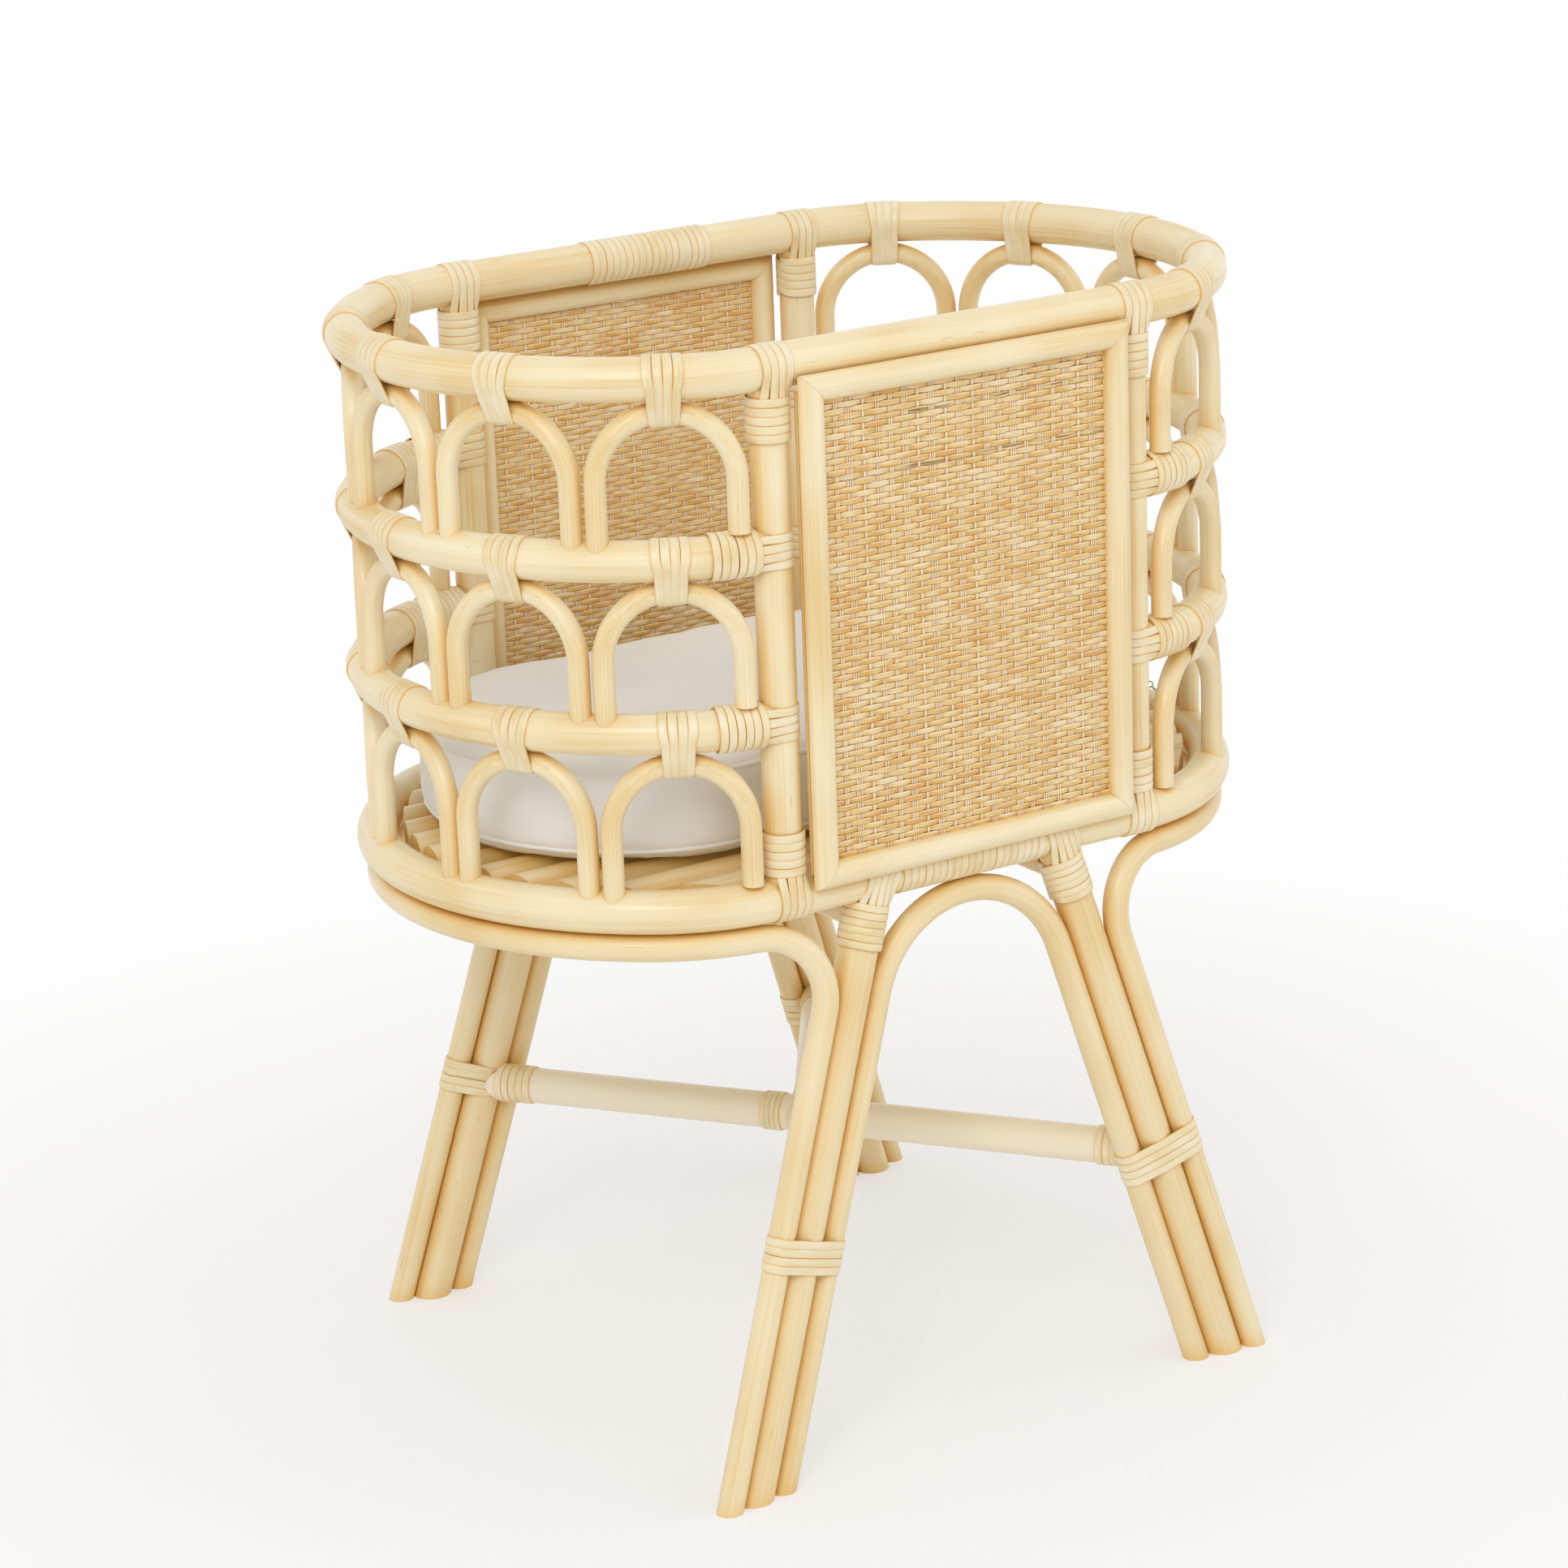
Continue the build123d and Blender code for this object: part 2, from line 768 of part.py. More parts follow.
pieces = {
    "top_rail": top_rail,
    "bottom_rail": bottom_rail,
    "post_front_left": post_front_left,
    "post_front_right": post_front_right,
    "post_back_left": post_back_left,
    "post_back_right": post_back_right,
    "upper_mid_rail_right": upper_mid_rail_right,
    "lower_mid_rail_right": lower_mid_rail_right,
    "arches_top_right": arches_top_right,
    "arches_middle_right": arches_middle_right,
    "arches_bottom_right": arches_bottom_right,
    "arch_bindings_top_right": arch_bindings_top_right,
    "arch_bindings_middle_right": arch_bindings_middle_right,
    "arch_bindings_bottom_right": arch_bindings_bottom_right,
    "leg_front_left": leg_front_left,
    "leg_front_right": leg_front_right,
    "leg_back_left": leg_back_left,
    "leg_back_right": leg_back_right,
    "leg_arch_front": leg_arch_front,
    "leg_arch_back": leg_arch_back,
    "end_brace_left": end_brace_left,
    "end_brace_right": end_brace_right,
    "stretcher_long": stretcher_long,
    "stretcher_short_front": stretcher_short_front,
    "stretcher_short_back": stretcher_short_back,
    "outer_frame_front": outer_frame_front,
    "outer_frame_back": outer_frame_back,
    "inner_frame_front": inner_frame_front,
    "inner_frame_back": inner_frame_back,
    "webbing_front": webbing_front,
    "webbing_back": webbing_back,
    "base_bearers": base_bearers,
    "base_slats": base_slats,
    "post_top_bindings": post_top_bindings,
    "post_foot_bindings": post_foot_bindings,
    "upper_mid_bindings": upper_mid_bindings,
    "lower_mid_bindings": lower_mid_bindings,
    "leg_top_bindings": leg_top_bindings,
    "leg_bands": leg_bands,
    "stretcher_end_bindings": stretcher_end_bindings,
    "crossing_binding": crossing_binding,
    "bottom_rail_wraps": bottom_rail_wraps,
    "top_rail_wrap": top_rail_wrap,
    "joint_screws": joint_screws,
    "mattress": mattress,
}
for name in ("upper_mid_rail", "lower_mid_rail", "arches_top", "arches_middle", "arches_bottom"):
    pieces[name + "_left"] = mirrored(pieces[name + "_right"])
for tier in ("top", "middle", "bottom"):
    pieces[f"arch_bindings_{tier}_left"] = mirrored(pieces[f"arch_bindings_{tier}_right"])

os.makedirs("parts", exist_ok=True)
for name, piece in pieces.items():
    piece.part.label = name
    export_step(piece.part, f"parts/{name}.step")
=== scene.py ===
from math import acos, atan2, ceil, cos, hypot, pi, radians, sin, sqrt, tan
from random import Random

import bmesh
import bpy
from mathutils import Matrix, Vector, noise
from mathutils.bvhtree import BVHTree


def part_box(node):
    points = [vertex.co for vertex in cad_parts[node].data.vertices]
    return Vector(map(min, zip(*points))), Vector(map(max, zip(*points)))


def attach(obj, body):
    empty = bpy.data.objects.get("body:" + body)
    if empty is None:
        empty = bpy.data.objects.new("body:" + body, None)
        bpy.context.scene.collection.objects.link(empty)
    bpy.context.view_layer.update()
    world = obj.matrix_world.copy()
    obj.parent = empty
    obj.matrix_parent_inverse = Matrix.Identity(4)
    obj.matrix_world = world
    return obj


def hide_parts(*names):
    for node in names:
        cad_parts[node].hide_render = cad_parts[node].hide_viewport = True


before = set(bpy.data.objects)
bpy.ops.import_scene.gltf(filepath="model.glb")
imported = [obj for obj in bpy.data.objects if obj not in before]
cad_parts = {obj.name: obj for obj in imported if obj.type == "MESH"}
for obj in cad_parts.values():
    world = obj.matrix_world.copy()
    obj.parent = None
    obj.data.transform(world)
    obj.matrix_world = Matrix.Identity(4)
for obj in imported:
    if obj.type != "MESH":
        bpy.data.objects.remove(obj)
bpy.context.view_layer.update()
scene = bpy.context.scene


# --- Camera ---
# It stands off the cradle's front left corner, above the top rail, and looks slightly down. The
# shift brings the cradle to the middle of the picture.

camera = bpy.data.objects.new("camera", bpy.data.cameras.new("camera"))
scene.collection.objects.link(camera)
scene.camera = camera
stands_at = (-1.83021, -2.77757, 1.47388)
look = Vector((0.49984, 0.81162, -0.30259)).normalized()
to_its_right = Vector((0.84353, -0.53536, -0.04282)).normalized()
camera.matrix_world = Matrix.Translation(stands_at) @ Matrix(
    (to_its_right, to_its_right.cross(look), -look)
).transposed().to_4x4()
camera.data.sensor_width = 36.0
camera.data.lens = 102.446
camera.data.shift_x = 0.0728
camera.data.shift_y = 0.0313


# --- The two closed rails and the rails round the ends ---
# Bent rattan poles, peeled and sanded, under a satin lacquer. The fibres run the length of the pole
# and show as fine streaks, and faint rings mark where the cane's leaves grew.


def inked(code):
    """A colour written as on a paint card, such as ebd09a, as linear values."""
    parts = [int(code[i : i + 2], 16) / 255 for i in (0, 2, 4)]
    return (*(p / 12.92 if p < 0.04045 else ((p + 0.055) / 1.055) ** 2.4 for p in parts), 1.0)


class Wire:
    """The value of one socket in a tree of nodes. Arithmetic on it adds Math nodes."""

    def __init__(self, nodes, socket):
        self.nodes = nodes
        self.socket = socket

    def maths(self, operation, *values):
        return self.nodes.add("Math", {"operation": operation}, dict(enumerate(values)))

    def __add__(self, other):
        return self.maths("ADD", self, other)

    def __sub__(self, other):
        return self.maths("SUBTRACT", self, other)

    def __rsub__(self, other):
        return self.maths("SUBTRACT", other, self)

    def __mul__(self, other):
        return self.maths("MULTIPLY", self, other)

    def __lt__(self, other):
        return self.maths("LESS_THAN", self, other)

    def __gt__(self, other):
        return self.maths("GREATER_THAN", self, other)

    def __abs__(self):
        return self.maths("ABSOLUTE", self)

    __radd__ = __add__
    __rmul__ = __mul__

    def ramp(self, low, high, floor=0.0, top=1.0):
        """Rises smoothly from floor to top as the value goes from low to high."""
        settings = {"interpolation_type": "SMOOTHSTEP"}
        return self.nodes.add("MapRange", settings, {0: self, 1: low, 2: high, 3: floor, 4: top})


class Nodes:
    """A tree of nodes. add() makes one from its type, its settings and what its sockets hold."""

    def __init__(self, tree):
        self.tree = tree

    def add(self, kind, settings=None, sockets=None, output=0):
        node = self.tree.nodes.new("ShaderNode" + kind)
        for name, value in (settings or {}).items():
            setattr(node, name, value)
        for name, value in (sockets or {}).items():
            if isinstance(value, Wire):
                self.tree.links.new(value.socket, node.inputs[name])
            else:
                node.inputs[name].default_value = value
        return Wire(self, node.outputs[output])

    def xyz(self, vector):
        return tuple(self.add("SeparateXYZ", None, {0: vector}, i) for i in range(3))

    def spot(self):
        """The place on the object itself, in metres."""
        return self.add("TexCoord", None, None, "Object")


class Finish(Nodes):
    """A material, and the shader that its nodes feed."""

    def __init__(self, name, **constants):
        self.material = bpy.data.materials.new(name)
        self.material.use_nodes = True
        super().__init__(self.material.node_tree)
        self.shader = self.tree.nodes["Principled BSDF"]
        for socket, value in constants.items():
            self.shader.inputs[socket.replace("_", " ")].default_value = value

    def paint(self, factor, first, second, blend="MIX"):
        settings = {"data_type": "RGBA", "blend_type": blend}
        return self.add("Mix", settings, {0: factor, 6: first, 7: second}, 2)

    def place(self, x, y, z):
        return self.add("CombineXYZ", None, {0: x, 1: y, 2: z})

    def noise(self, vector, scale, detail=2.0, roughness=0.5):
        sockets = {"Vector": vector, "Scale": scale, "Detail": detail, "Roughness": roughness}
        return self.add("TexNoise", None, sockets)

    def wear(self, **sockets):
        """Links what changes over the surface to the shader."""
        for name, value in sockets.items():
            self.tree.links.new(value.socket, self.shader.inputs[name.replace("_", " ")])
        return self.material


straw_light = inked("f6eac9")
straw_mid = inked("f1dfb4")
straw_deep = inked("e8cb90")
painted_crevice_shade = inked("f8d05a")  # painted shade: poles are darkened and warmed towards this where they crowd close
speck_brown = inked("a67c45")
# Pale fibre colour: the inner cane's own tone, and also the colour of painted highlights and of the
# stretchers' painted lighter tone.
fibre_and_highlight_white = inked("f8f0dc")
leaf_ring_gap = 0.16  # half the way from one ring on a pole to the next


def rattan(name, grain_place, fineness=1.0, wash=straw_mid, share=0.0):
    """The finish of a pole. grain_place gives the distance along the pole and two across it. The
    wash is a paler or deeper colour that covers a share of the pole's own."""
    finish = Finish(name, Coat_Weight=0.25, Coat_Roughness=0.25, IOR=1.45)
    spot = finish.spot()
    along, across, up = grain_place(finish, spot)
    fine = finish.noise(finish.place(along * 7, across * 700 * fineness, up * 700 * fineness), 1.0, 2.0)
    broad = finish.noise(finish.place(along * 4, across * 110, up * 110), 1.0, 2.0)
    patch = finish.noise(spot, 9.0, 2.0)
    tone = (broad - 0.5) * 0.8 + (patch - 0.5) * 1.2 + (fine - 0.5) * 0.7 + 0.5
    colour = finish.paint(tone.ramp(0.1, 0.55), straw_deep, straw_mid)
    colour = finish.paint(tone.ramp(0.45, 0.9), colour, straw_light)
    colour = finish.paint(share, colour, wash)
    dash = finish.noise(finish.place(along * 45, across * 800, up * 800), 1.0, 1.0)
    speck = dash.ramp(0.76, 0.82) * patch.ramp(0.35, 0.6, 0.15, 0.7)
    colour = finish.paint(speck, colour, speck_brown)
    step = finish.add("Math", {"operation": "PINGPONG"}, {0: along + patch * 0.15, 1: leaf_ring_gap})
    ring = step.ramp(0.0, 0.0016, 1.0, 0.0) * broad.ramp(0.4, 0.65, 0.0, 0.3)
    colour = finish.paint(ring, colour, straw_deep)
    # Painted shade: where ambient occlusion finds other surfaces within 18 mm, the colour is multiplied
    # towards the warm shade colour, for the shade and bounced light between poles.
    open_sky = finish.add("AmbientOcclusion", {"samples": 2}, {"Distance": 0.018}, 1)
    colour = finish.paint(open_sky.ramp(0.1, 0.95, 0.85, 0.0), colour, painted_crevice_shade, "MULTIPLY")
    relief = fine * 0.5 + broad * 0.8 - speck * 0.8 + ring * 0.7
    bump = finish.add("Bump", None, {"Strength": 0.3, "Distance": 0.0006, "Height": relief})
    gloss = finish.noise(finish.place(along * 16, across * 300, up * 300), 1.0, 1.0)
    return finish.wear(Base_Color=colour, Roughness=gloss.ramp(0.3, 0.7, 0.32, 0.5), Normal=bump)


rail_low, rail_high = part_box("top_rail")
rail_r = (rail_high.z - rail_low.z) / 2
half_length = rail_high.x - rail_r
half_width = rail_high.y - rail_r
top_z = rail_high.z - rail_r
base_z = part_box("bottom_rail")[0].z + rail_r
half_straight = sum(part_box("post_front_right"), Vector()).x / 2
end_swing = radians(52.45)  # how far the middle arc of an end turns to each side

ease = tan(end_swing / 2)
corner_r = (half_length - half_straight - half_width * ease) / (1 - ease)
corner_y = half_width - corner_r
end_r = corner_r + corner_y / sin(end_swing)
end_x = half_length - end_r


def polar(finish, x, y):
    """Distance and angle of (x, y) from the origin, as wires."""
    distance = finish.add("VectorMath", {"operation": "LENGTH"}, {0: finish.place(x, y, 0.0)}, 1)
    return distance, finish.add("Math", {"operation": "ARCTAN2"}, {0: y, 1: x})


def round_the_rail(finish, spot):
    """Distance along the rails' line from the middle of an end, distance outside it, and height."""
    x, y, z = finish.xyz(spot)
    x, y = abs(x), abs(y)
    end_out, end_turn = polar(finish, x - end_x, y)
    corner_out, corner_turn = polar(finish, x - half_straight, y - corner_y)
    past_end = end_turn > end_swing
    straight = x < half_straight
    corner_turn = corner_turn.maths("MINIMUM", corner_turn, pi / 2)
    in_corner = end_r * end_swing + (corner_turn - end_swing) * corner_r
    along = end_turn * end_r * (1 - past_end) + in_corner * past_end
    along = along + (half_straight - x) * straight
    out = (end_out - end_r) * (1 - past_end) + (corner_out - corner_r) * past_end
    out = out * (1 - straight) + (y - half_width) * straight
    return along, out, z


rail_finish = rattan("bent_rail", round_the_rail)
rails = ["top_rail", "bottom_rail"]
rails += [f"{height}_mid_rail_{side}" for height in ("upper", "lower") for side in ("left", "right")]


def dress(names, material):
    for name in names:
        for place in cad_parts[name].material_slots:
            place.material = material


dress(rails, rail_finish)


# --- Posts ---
# Four straight rattan poles, one at each side of the two panels. Both ends are coped to sit on the
# closed rails, and are screwed to them.


def upright(finish, spot):
    x, y, z = finish.xyz(spot)
    return z, x, y


corners = [f"{face}_{side}" for face in ("front", "back") for side in ("left", "right")]
dress([f"post_{corner}" for corner in corners], rattan("post", upright))


# --- Legs ---
# Each leg is three rattan poles side by side: a thick one, with a thinner one on each flank. The
# inner flank is bent over into an arch to the next leg, and the outer one runs on under the bottom
# rail and round the end.

foot = Vector((0.222, -0.242, 0.0))  # where the axis of the front right leg meets the floor
leg_top_x = 0.082  # where that axis meets the bottom rail's
leg_top = Vector((leg_top_x, -half_width, base_z))
leg_axis = (leg_top - foot).normalized()
leg_across = Vector((1, 0, 0)) - leg_axis * leg_axis.x
leg_across.normalize()
leg_forward = leg_axis.cross(leg_across)
slope = hypot(base_z, foot.y + half_width)  # up the splayed plane, floor to rail
lean = atan2(foot.x - leg_top_x, slope)
flank_r = 0.010
leg_r = 0.015
abreast = leg_r + flank_r + 0.0001  # between the axes of a leg's poles, which only just clear


def dot(finish, point, direction):
    settings = {"operation": "DOT_PRODUCT"}
    return finish.add("VectorMath", settings, {0: point, 1: tuple(direction)}, 1)


def quartered(finish, spot):
    """The point moved to the front right quarter, so that one formula serves four like corners."""
    x, y, z = finish.xyz(spot)
    return finish.place(abs(x), abs(y) * -1, z)


def along_leg(finish, spot):
    point = quartered(finish, spot)
    return tuple(dot(finish, point, axis) for axis in (leg_axis, leg_across, leg_forward))


def along_leg_arch(finish, spot):
    """Up the leg as far as the bend, and then round it."""
    arch_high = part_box("leg_arch_front")[1].z
    crown = arch_high / base_z * slope - flank_r
    foot_in = foot.x - abreast / cos(lean)
    bend_r = (foot_in * cos(lean) - crown * sin(lean)) / (1 - sin(lean))
    uphill = Vector((0, (half_width + foot.y) * -1, base_z)).normalized()
    point = quartered(finish, spot)
    x = dot(finish, point, (1, 0, 0))
    rise = dot(finish, point, uphill) + (-foot.dot(uphill) - crown + bend_r)
    out, turn = polar(finish, x, rise)
    bent = turn > lean
    limb = rise * cos(lean) - x * sin(lean)
    flat = x * cos(lean) + rise * sin(lean)
    along = limb * (1 - bent) + (turn - lean) * bend_r * bent
    across = flat * (1 - bent) + out * bent
    return along, across, dot(finish, point, uphill.cross((1, 0, 0)))


brace_bend = Vector((0.18207, -0.22018, 0.37436))  # the centre of its bend
brace_square = Vector((-0.15441, 0.98269, -0.10241))  # square to the plane of its bend
brace_level_x = 0.1813  # where it has come level with the rail
brace_drop = 0.06  # the level part lies no further than this below the rail's axis


def along_brace(finish, spot):
    """Up the leg, round the bend and along under the rail."""
    point = quartered(finish, spot)
    along_rail, out, z = round_the_rail(finish, spot)
    x = dot(finish, point, (1, 0, 0))
    rise = dot(finish, point, leg_axis)
    level = (z > base_z - brace_drop) * (x > brace_level_x)
    past = rise - brace_bend.dot(leg_axis)
    aside = leg_axis.cross(brace_square)
    side = dot(finish, point, aside) - brace_bend.dot(aside)
    radial = polar(finish, side, past.maths("MAXIMUM", past, 0.0))[0]
    across = radial * (1 - level) + (z - brace_bend.z) * level
    face = dot(finish, point, brace_square) - brace_bend.dot(brace_square)
    return rise - along_rail, across, face * (1 - level) - out * level


legs = [f"leg_{corner}" for corner in corners]
dress(legs, rattan("leg", along_leg, 1.0, straw_deep, 0.3))
leg_arches = ["leg_arch_front", "leg_arch_back"]
dress(leg_arches, rattan("leg_arch", along_leg_arch, 1.0, straw_deep, 0.3))
braces = ["end_brace_left", "end_brace_right"]
dress(braces, rattan("end_brace", along_brace, 1.0, straw_deep, 0.15))


# --- Stretchers ---
# A crossed brace low between the legs, of rattan washed paler than the legs: partly a paler pole,
# partly a painted lighter tone for the light that the basket's shade takes from it. One whole pole
# runs from corner to corner, and two halves are coped against its middle.

stretcher_z = 0.178
stretcher_end = foot + leg_axis * (stretcher_z / leg_axis.z)
stretcher_end.z = stretcher_z
stretcher_r = 0.0145


def along_stretcher(finish, spot):
    way = Vector((stretcher_end.x, stretcher_end.y, 0)).normalized()
    axes = (way, way.cross((0, 0, 1)), (0, 0, 1))
    return tuple(dot(finish, quartered(finish, spot), axis) for axis in axes)


stretchers = ["stretcher_long", "stretcher_short_front", "stretcher_short_back"]
# The stretchers are washed far towards pale white: partly their own paler tone, partly painted light.
dress(stretchers, rattan("stretcher", along_stretcher, 1.0, fibre_and_highlight_white, 0.8))


# --- Arches ---
# Three tiers of five round each end. Each is a thin rattan pole, steamed and bent to a half circle,
# with its feet glued into holes in the rail below.

arch_count = 5
arch_r = 0.008
arch_gap = 0.002  # between the feet of neighbours
post_to_foot = 0.027  # from a post's axis to the next foot's
feet_run = 2 * (end_r * end_swing + corner_r * (pi / 2 - end_swing) - post_to_foot)
arch_span = (feet_run - (arch_count - 1) * (2 * arch_r + arch_gap)) / arch_count
arch_pitch = arch_span + 2 * arch_r + arch_gap
tiers = {
    tier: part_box(f"arches_{tier}_right")[1].z - arch_r for tier in ("top", "middle", "bottom")
}


def along_arch(apex):
    """Up one limb of an arch and round its crown."""

    def grain_place(finish, spot):
        along_rail, out, z = round_the_rail(finish, spot)
        stations = {0: along_rail, 1: arch_pitch}
        nearest = finish.add("Math", {"operation": "PINGPONG"}, stations)
        nearest = nearest.maths("MINIMUM", nearest, arch_pitch - nearest)
        rise = z - (apex - arch_span / 2)
        crown, turn = polar(finish, nearest, rise.maths("MAXIMUM", rise, 0.0))
        return rise.maths("MINIMUM", rise, 0.0) + turn * (arch_span / 2), crown, out

    return grain_place


for tier, apex in tiers.items():
    arches = [f"arches_{tier}_left", f"arches_{tier}_right"]
    dress(arches, rattan(f"arch_{tier}", along_arch(apex), 1.3))


# --- Base ---
# Straight rattan slats, laid across two bearers that run from leg to leg under the bottom rail, and
# sawn to the line of the rail. They carry the mattress.


def lengthways(finish, spot):
    x, y, z = finish.xyz(spot)
    return x, y, z


def crossways(finish, spot):
    x, y, z = finish.xyz(spot)
    return y, x, z


dress(["base_slats"], rattan("slat", lengthways))
dress(["base_bearers"], rattan("bearer", crossways))


# --- Panel frames ---
# Half-round mouldings of split rattan, mitred at the corners. One frame lies on each face of the
# webbing, and the two hold it between them.


def round_the_panel(layer):
    frame_low, frame_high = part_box(f"{layer}_frame_front")

    def grain_place(finish, spot):
        x, y, z = finish.xyz(spot)
        side = abs(x) - frame_high.x
        end = abs(z - (frame_high.z + frame_low.z) / 2) - (frame_high.z - frame_low.z) / 2
        stile = side > end
        return z * stile + x * (1 - stile), side * stile + end * (1 - stile), y

    return grain_place


for layer in ("outer", "inner"):
    mouldings = [f"{layer}_frame_front", f"{layer}_frame_back"]
    dress(mouldings, rattan(f"moulding_{layer}", round_the_panel(layer), 1.2))


# --- Screws ---
# Countersunk steel screws, plated with zinc. They hold the posts to all their rails and the legs to
# the bottom one, and the bindings hide them.

plating = Finish("zinc_plate", Metallic=1.0)
plating_spot = plating.spot()
spangle = plating.noise(plating_spot, 900.0, 3.0)
dulled = plating.paint(spangle, inked("a9a8a2"), inked("c9c8c3"))
dress(["joint_screws"], plating.wear(Base_Color=dulled, Roughness=spangle.ramp(0.3, 0.7, 0.3, 0.5)))


# --- Cane webbing ---
# Close plain weave, by hand: flat strands of cane go across, over and under upright groups of one to
# three thin strands of inner cane. No two are quite the same width or colour, and a few stay dark.
# The edges are held between the panel's two frames.

# Sections of a strip, in half widths and thicknesses: binding peel, flat cane and inner cane.
PEEL = ((-1, -0.1), (-0.98, 0.6), (-0.86, 0.87), (-0.45, 0.97), (0, 1))
PEEL += ((0.45, 0.97), (0.86, 0.87), (0.98, 0.6), (1, -0.1))
CANE = ((-1, 0), (-0.6, 0.95), (0.6, 0.95), (1, 0), (0.6, -0.95), (-0.6, -0.95))
CORE = ((-1, 0), (0, 1), (1, 0), (0, -1))


class Strands:
    """Strips gathered into one mesh. A vertex keeps its place along and across its strip, and the
    strip's own tone."""

    def __init__(self, section):
        self.section = section
        self.points, self.faces, self.runs = [], [], []

    def lay(self, points, normals, widths, thickness, tone, section=None):
        """A strip along the points, with its face turned to the normals."""
        section = section or self.section
        count = len(section)
        start = len(self.points)
        run = 0.0
        for i, (point, normal) in enumerate(zip(points, normals)):
            before, after = points[max(i - 1, 0)], points[min(i + 1, len(points) - 1)]
            side = (after - before).cross(normal).normalized()
            run += (point - before).length
            for across, up in section:
                self.points.append(point + side * (across * widths[i] / 2) + normal * (up * thickness))
                self.runs.append((run, across, tone))
        for i in range(len(points) - 1):
            row = start + i * count
            for j in range(count):
                k = (j + 1) % count
                self.faces.append((row + j, row + k, row + count + k, row + count + j))
        last = start + (len(points) - 1) * count
        self.faces.append(tuple(start + j for j in range(count)))
        self.faces.append(tuple(last + j for j in reversed(range(count))))

    def piece(self, name, material, slot, body, *nodes):
        """Makes the mesh, which rides on the body and stands for the nodes."""
        mesh = bpy.data.meshes.new(name)
        mesh.from_pydata([tuple(p) for p in self.points], [], self.faces)
        mesh.shade_smooth()
        run = mesh.attributes.new("run", "FLOAT_VECTOR", "POINT")
        run.data.foreach_set("vector", [value for triple in self.runs for value in triple])
        mesh.materials.append(material)
        made = bpy.data.objects.new(name, mesh)
        scene.collection.objects.link(made)
        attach(made, body)
        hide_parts(*nodes)
        return made


weft_pitch = 0.0044
warp_pitch = 0.0120
weft_swing = 0.0006  # how far a strand goes over and under
warp_swing = 0.0005
warp_strand = 0.0019
warp_thick = 0.00045
stained_tone = -1.0


def strand_noise(*values):
    return noise.noise(Vector(values))


def webbing(face, seed):
    """The strands of one sheet. The seed settles how each differs from the next."""
    chance = Random(seed)
    low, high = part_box(f"webbing_{face}")
    mid = (low.y + high.y) / 2
    out = Vector((0, 1 if mid > 0 else -1, 0))
    woven = Strands(CANE)
    warps = ceil((high.x - low.x) / warp_pitch)
    wefts = ceil((high.z - low.z) / weft_pitch)
    steps = 4 * warps
    stained = {wefts - 9, wefts - 18} if seed % 2 else {wefts - 6}
    for j in range(wefts):
        z = low.z + (j + 0.5) * (high.z - low.z) / wefts
        tone = stained_tone if j in stained else chance.random()
        thick = chance.uniform(0.00027, 0.00037)
        breadth = weft_pitch * chance.uniform(0.98, 1.07)
        points, widths = [], []
        for i in range(steps + 1):
            x = low.x + i * (high.x - low.x) / steps
            weave = sin(pi * i / 4) * (-1 if j % 2 else 1)
            depth = weft_swing * weave
            drift = 0.0005 * strand_noise(x * 18, j * 0.45, seed)
            drift += 0.00014 * strand_noise(x * 50, j * 7.3, seed)
            points.append(Vector((x, mid, z + drift)) + out * depth)
            uneven = 0.1 * strand_noise(x * 60, j * 3.1, seed + 9.0)
            widths.append(breadth * (1.02 + 0.03 * weave + uneven))
        if out.y < 0:
            points.reverse()
            widths.reverse()
        woven.lay(points, [out] * len(points), widths, thick, tone)
    for i in range(warps):
        strands = chance.choice((2, 3, 3) if i % 2 else (1, 2))
        middle = low.x + (i + 0.5) * (high.x - low.x) / warps + chance.uniform(-0.0005, 0.0005)
        for k in range(strands):
            x = middle + (k - (strands - 1) / 2) * warp_strand
            width = warp_strand * (1.4 if strands == 1 else chance.uniform(0.8, 1.05))
            tone = chance.uniform(1.2, 1.4)
            points, widths = [], []
            for j in range(2 * wefts + 1):
                z = low.z + j * (high.z - low.z) / (2 * wefts)
                weave = sin(pi * j / 2) * (1 if i % 2 else -1)
                points.append(Vector((x, mid, z)) + out * (weave * warp_swing))
                widths.append(width + 0.0004 * strand_noise(z * 40, i * 5.7 + k, seed))
            woven.lay(points, [out] * len(points), widths, warp_thick, tone, CORE)
    return woven


